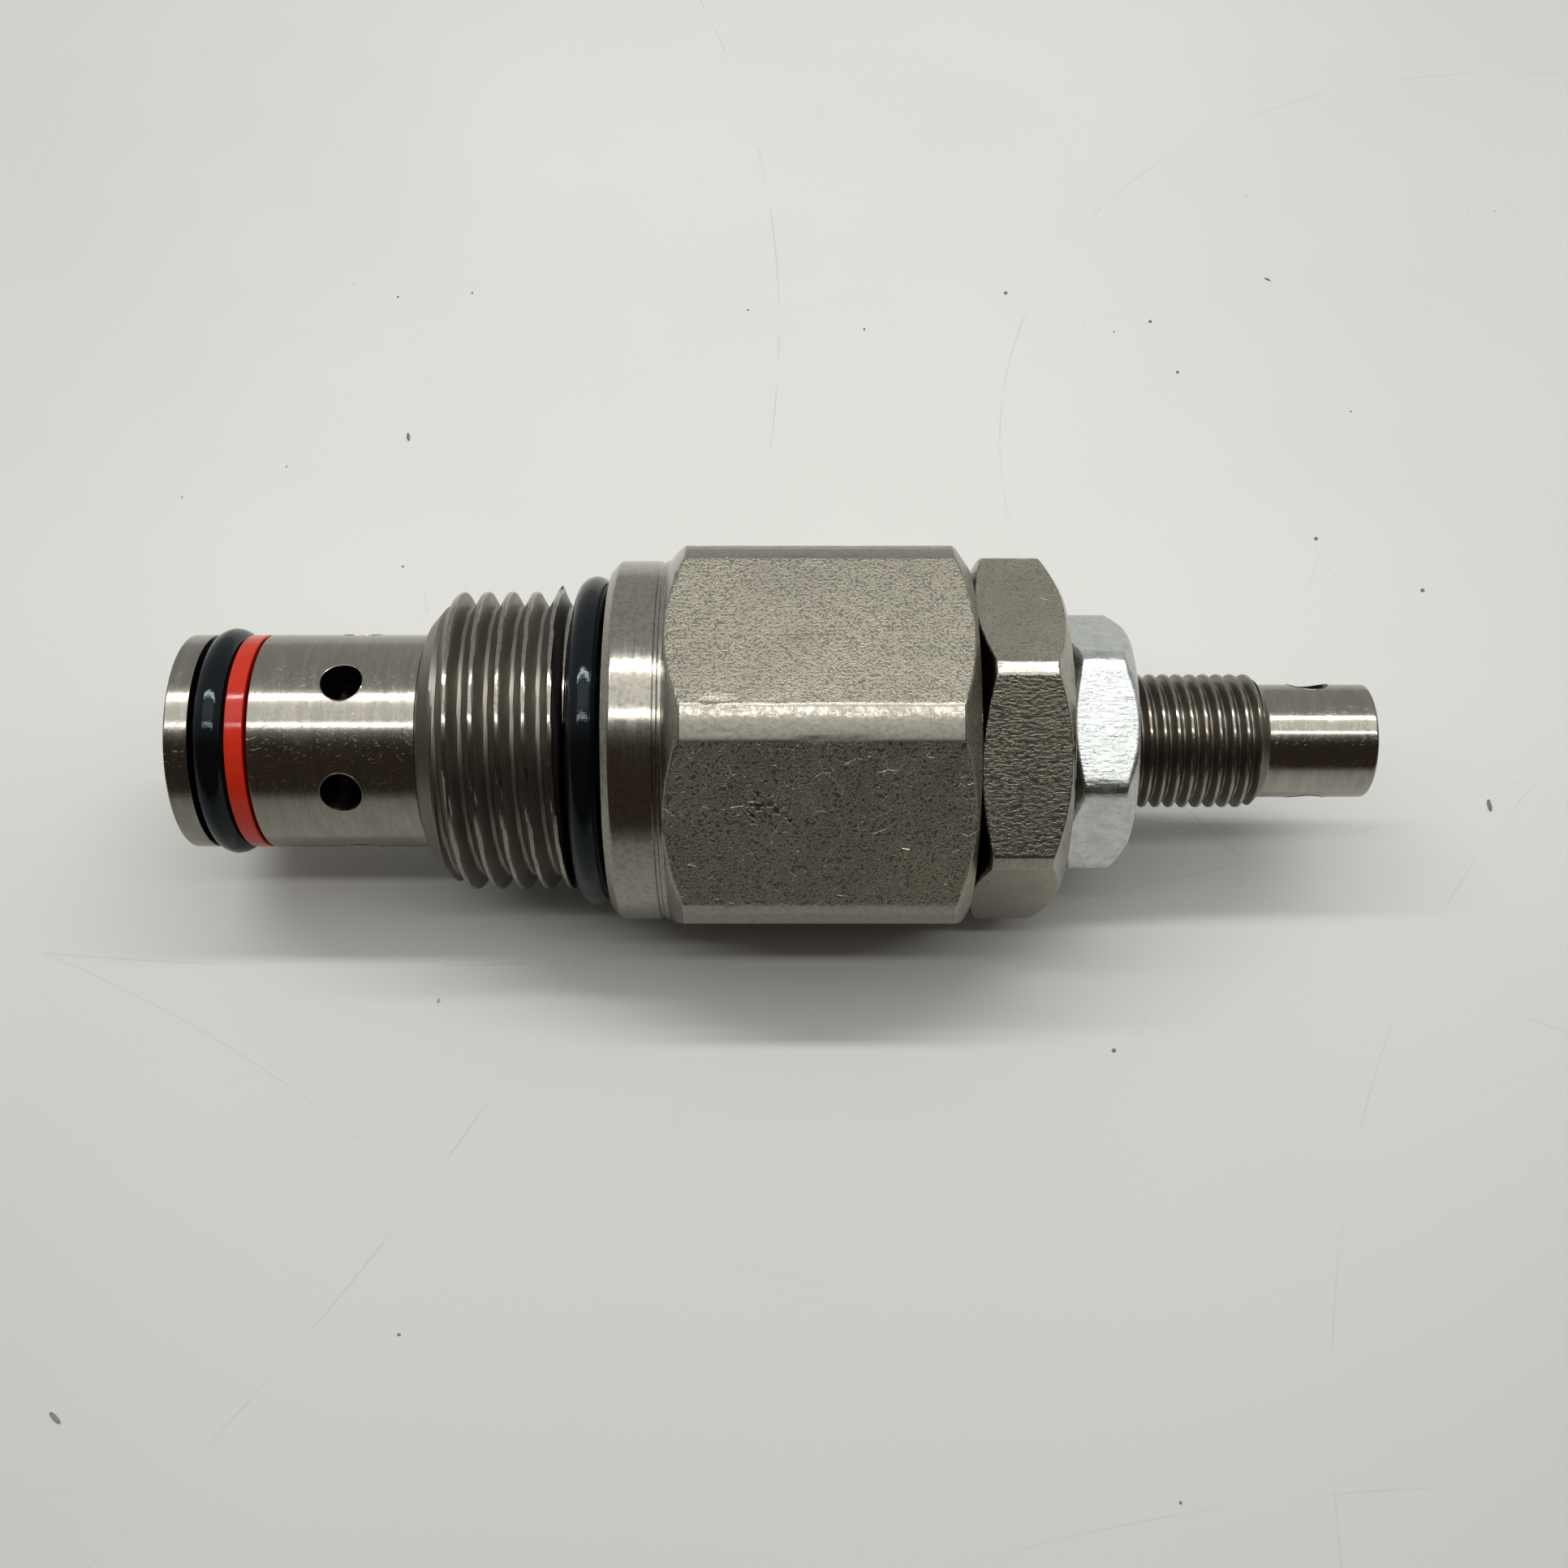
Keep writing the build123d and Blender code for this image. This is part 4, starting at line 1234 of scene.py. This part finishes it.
def build_seals(context):
    """The two black O-rings and the red backup ring outside the valve."""
    s = context.scene.valve_seals
    for name, node, low, high in (
        ("nose_seal", "nose_o_ring", NOSE_RING_LOW, NOSE_RING_HIGH),
        ("body_seal", "body_o_ring", BODY_RING_LOW, BODY_RING_HIGH),
    ):
        cord = (high[0] - low[0]) / 2
        piece = empty_piece(name)
        run_tree(piece, tree_of(seal_tree), {
            "Mean Radius": (high[2] - cord) * MM, "Cord Radius": cord * MM, "Place": (low[0] + cord) * MM,
            "Seam": s.seam_height, "Segments": s.ring_segments, "Sides": s.cord_segments,
            "Material": finish_of("rubber"),
        })
        settle(piece.data, 60.0)
        finish_piece(piece, "rubber", "housing", "black_rubber", node)
    low, high = BACKUP_LOW, BACKUP_HIGH
    outer, inner = high[2], BACKUP_BORE
    corners = [
        (low[0], inner, 0.05, 0.5), (low[0], outer, 0.12, 0.3),
        (high[0], outer, 0.12, 0.5), (high[0], inner, 0.05, 0.3),
    ]
    piece = turned_piece("nose_backup", outline_rows(corners), even_angles(192))
    finish_piece(piece, "red", "housing", "red_backup", "nose_backup_ring")


def build_spring(context):
    """The spring, built as two halves of its coils."""
    s = context.scene.valve_spring
    wire = s.wire / MM
    start, end = SPRING_LOW[0] + wire, SPRING_HIGH[0] - wire
    middle = (start + end) / 2
    halves = (("front_coils", start, middle, "poppet_set"), ("rear_coils", middle, end, "plunger_set"))
    for name, low, high, body in halves:
        piece = empty_piece(name)
        run_tree(piece, tree_of(spring_tree), {
            "Wire Radius": s.wire, "Mean Radius": s.mean_radius, "Turns": s.turns / 2,
            "Length": (high - low) * MM, "Start": low * MM, "Sides": 20, "Material": finish_of("inner"),
        })
        if low == middle:
            half = math.pi if round(s.turns) % 2 else 0.0
            for v in piece.data.vertices:
                y, z = v.co.y, v.co.z
                v.co.y = y * math.cos(half) - z * math.sin(half)
                v.co.z = y * math.sin(half) + z * math.cos(half)
        settle(piece.data, 60.0)
        dress(piece, "inner")
        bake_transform(piece)
        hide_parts("main_spring")


def dress_inner(context):
    """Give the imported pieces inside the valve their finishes."""
    by_slot = {
        "hard_steel": "inner", "spring_wire": "inner", "black_rubber": "rubber", "white_backup": "white",
    }
    for part in frame["record"]["subparts"]:
        key = by_slot.get(part["material_slot"])
        node = frame["nodes"].get(part["node"])
        if key and node:
            for i in range(len(node.material_slots)):
                node.material_slots[i].material = finish_of(key)


# The stage

# Each light's name, tilt back from straight up in degrees, reach and width in metres, and radiance
LIGHTS = (
    ("strip_back", 12.75, 0.6, 0.034, 19.0), ("strip_front", -17.85, 0.6, 0.034, 8.5),
    ("ceiling_glow", -1.0, 0.64, 0.26, 0.80),
)


def strip_light(name, back_tilt, reach, width, radiance, span=0.9):
    """A long light above the valve, tilted back from straight up by an angle."""
    data = bpy.data.lights.new(name, "AREA")
    data.shape = "RECTANGLE"
    data.size, data.size_y = span, width
    data.energy = radiance * math.pi * span * width
    data.color = (1.0, 0.985, 0.955)
    lamp = placed(name, data)
    lamp.location = (MIDDLE_X * MM, reach * math.sin(back_tilt), reach * math.cos(back_tilt))
    lamp.rotation_euler = (-back_tilt, 0, 0)


def soft_room():
    """A pale room: bright above and behind, dark low in front where the viewer stands."""
    world = bpy.data.worlds.new("soft_room")
    world.use_nodes = True
    bpy.context.scene.world = world
    tree = world.node_tree
    tree.nodes.clear()
    direction = add(tree, "ShaderNodeTexCoord").outputs["Generated"]
    split = add(tree, "ShaderNodeSeparateXYZ", {0: direction})
    y, z = split.outputs[1], split.outputs[2]
    front = minus(tree, times(tree, y, -1.0), times(tree, z, 0.55))
    shade = ranged(tree, front, -0.45, 0.22)
    tone = mixed(tree, shade, (0.43, 0.435, 0.435, 1.0), (0.045, 0.034, 0.026, 1.0))
    sky = add(tree, "ShaderNodeBackground", {"Color": tone, "Strength": 1.0})
    output = add(tree, "ShaderNodeOutputWorld")
    tree.links.new(sky.outputs[0], output.inputs[0])


def bench_specks(count=26, seed=12):
    """Tiny dark crumbs and lint lying on the bench round the valve."""
    rng = np.random.default_rng(seed)
    work = bmesh.new()
    for _ in range(count):
        x, y = rng.uniform(-52, 78), rng.uniform(-60, 72)
        if -34 < x < 58 and abs(y) < 18:
            continue
        size = rng.uniform(0.09, 0.22)
        made = bmesh.ops.create_icosphere(work, subdivisions=1, radius=size * MM)
        turn = rng.uniform(0, TURN)
        long = rng.choice([1.0, 1.3, 3.5])
        for v in made["verts"]:
            u, w = v.co.x * long, v.co.y
            v.co.x = u * math.cos(turn) - w * math.sin(turn) + x * MM
            v.co.y = u * math.sin(turn) + w * math.cos(turn) + y * MM
            v.co.z = v.co.z * 0.5 + (FLOOR_Z + size * 0.4) * MM
    mesh = bpy.data.meshes.new("bench_specks")
    work.to_mesh(mesh)
    work.free()
    specks = placed("bench_specks", mesh)
    mesh.materials.append(finish_of("lint"))


def build_stage(context):
    """The bench, the camera, the lights and the room round them."""
    s = context.scene.valve_stage
    bench_specks()
    mesh = bpy.data.meshes.new("bench")
    reach, z = 0.9, FLOOR_Z * MM
    corners = [(x * reach, y * reach, z) for x, y in ((-1, -1), (1, -1), (1, 1), (-1, 1))]
    mesh.from_pydata(corners, [], [(0, 1, 2, 3)])
    bench = placed("bench", mesh)
    mesh.materials.append(finish_of("bench"))
    camera_data = bpy.data.cameras.new("camera")
    camera_data.sensor_width = 36.0
    camera_data.lens = s.lens
    camera_data.clip_start = 0.005
    camera = placed("camera", camera_data)
    back, up = s.distance * math.cos(s.elevation), s.distance * math.sin(s.elevation)
    camera.location = (MIDDLE_X * MM, -back, up)
    camera.rotation_euler = (math.pi / 2 - s.pitch, 0, 0)
    context.scene.camera = camera
    for name, back_tilt, reach, width, radiance in LIGHTS:
        strip_light(name, math.radians(back_tilt), reach, width, radiance)
    soft_room()
    context.scene.view_settings.view_transform = "Standard"


# Operators, panel and registration

class VALVE_OT_stage(bpy.types.Operator):
    """Set up the bench, the lights and the camera"""
    bl_idname = "valve.stage"
    bl_label = "Stage"

    def execute(self, context):
        build_stage(context)
        return {"FINISHED"}


class VALVE_OT_cage(bpy.types.Operator):
    """Build the ported nose with its seal groove"""
    bl_idname = "valve.cage"
    bl_label = "Nose cage"

    def execute(self, context):
        build_cage(context)
        return {"FINISHED"}


class VALVE_OT_body(bpy.types.Operator):
    """Build the body with its thread, collar and hexagon"""
    bl_idname = "valve.body"
    bl_label = "Threaded body"

    def execute(self, context):
        build_body(context)
        return {"FINISHED"}


class VALVE_OT_bonnet(bpy.types.Operator):
    """Build the smaller hexagon"""
    bl_idname = "valve.bonnet"
    bl_label = "Bonnet"

    def execute(self, context):
        build_bonnet(context)
        return {"FINISHED"}


class VALVE_OT_nut(bpy.types.Operator):
    """Build the plated lock nut"""
    bl_idname = "valve.nut"
    bl_label = "Jam nut"

    def execute(self, context):
        build_nut(context)
        return {"FINISHED"}


class VALVE_OT_screw(bpy.types.Operator):
    """Build the adjusting screw and its thread"""
    bl_idname = "valve.screw"
    bl_label = "Adjusting screw"

    def execute(self, context):
        build_screw(context)
        return {"FINISHED"}


class VALVE_OT_seals(bpy.types.Operator):
    """Build the O-rings and the backup ring"""
    bl_idname = "valve.seals"
    bl_label = "Seals"

    def execute(self, context):
        build_seals(context)
        return {"FINISHED"}


class VALVE_OT_spring(bpy.types.Operator):
    """Build the pressure spring"""
    bl_idname = "valve.spring"
    bl_label = "Main spring"

    def execute(self, context):
        build_spring(context)
        return {"FINISHED"}


class VALVE_OT_inner(bpy.types.Operator):
    """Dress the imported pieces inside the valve"""
    bl_idname = "valve.inner"
    bl_label = "Inner pieces"

    def execute(self, context):
        dress_inner(context)
        return {"FINISHED"}


OPERATORS = [
    VALVE_OT_stage, VALVE_OT_cage, VALVE_OT_body, VALVE_OT_bonnet, VALVE_OT_nut, VALVE_OT_screw,
    VALVE_OT_seals, VALVE_OT_spring, VALVE_OT_inner,
]


class VALVE_PT_build(bpy.types.Panel):
    """Lists the building steps and the sizes of the valve"""
    bl_label = "Relief Cartridge Valve"
    bl_idname = "VALVE_PT_build"
    bl_space_type = "VIEW_3D"
    bl_region_type = "UI"
    bl_category = "Valve"

    def draw(self, context):
        for operator in OPERATORS:
            self.layout.operator(operator.bl_idname)
        for key, group in SETTINGS.items():
            box = self.layout.box()
            settings = getattr(context.scene, key)
            for name in group.__annotations__:
                box.prop(settings, name)


def register():
    """Add the settings, the building steps and the panel."""
    for key, group in SETTINGS.items():
        bpy.utils.register_class(group)
        setattr(bpy.types.Scene, key, PointerProperty(type=group))
    for operator in OPERATORS:
        bpy.utils.register_class(operator)
    bpy.utils.register_class(VALVE_PT_build)


def unregister():
    """Take the panel, the building steps and the settings away again."""
    bpy.utils.unregister_class(VALVE_PT_build)
    for operator in reversed(OPERATORS):
        bpy.utils.unregister_class(operator)
    for key, group in reversed(SETTINGS.items()):
        delattr(bpy.types.Scene, key)
        bpy.utils.unregister_class(group)


def main():
    """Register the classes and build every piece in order."""
    register()
    for operator in OPERATORS:
        family, name = operator.bl_idname.split(".")
        getattr(getattr(bpy.ops, family), name)()


if __name__ == "__main__":
    main()
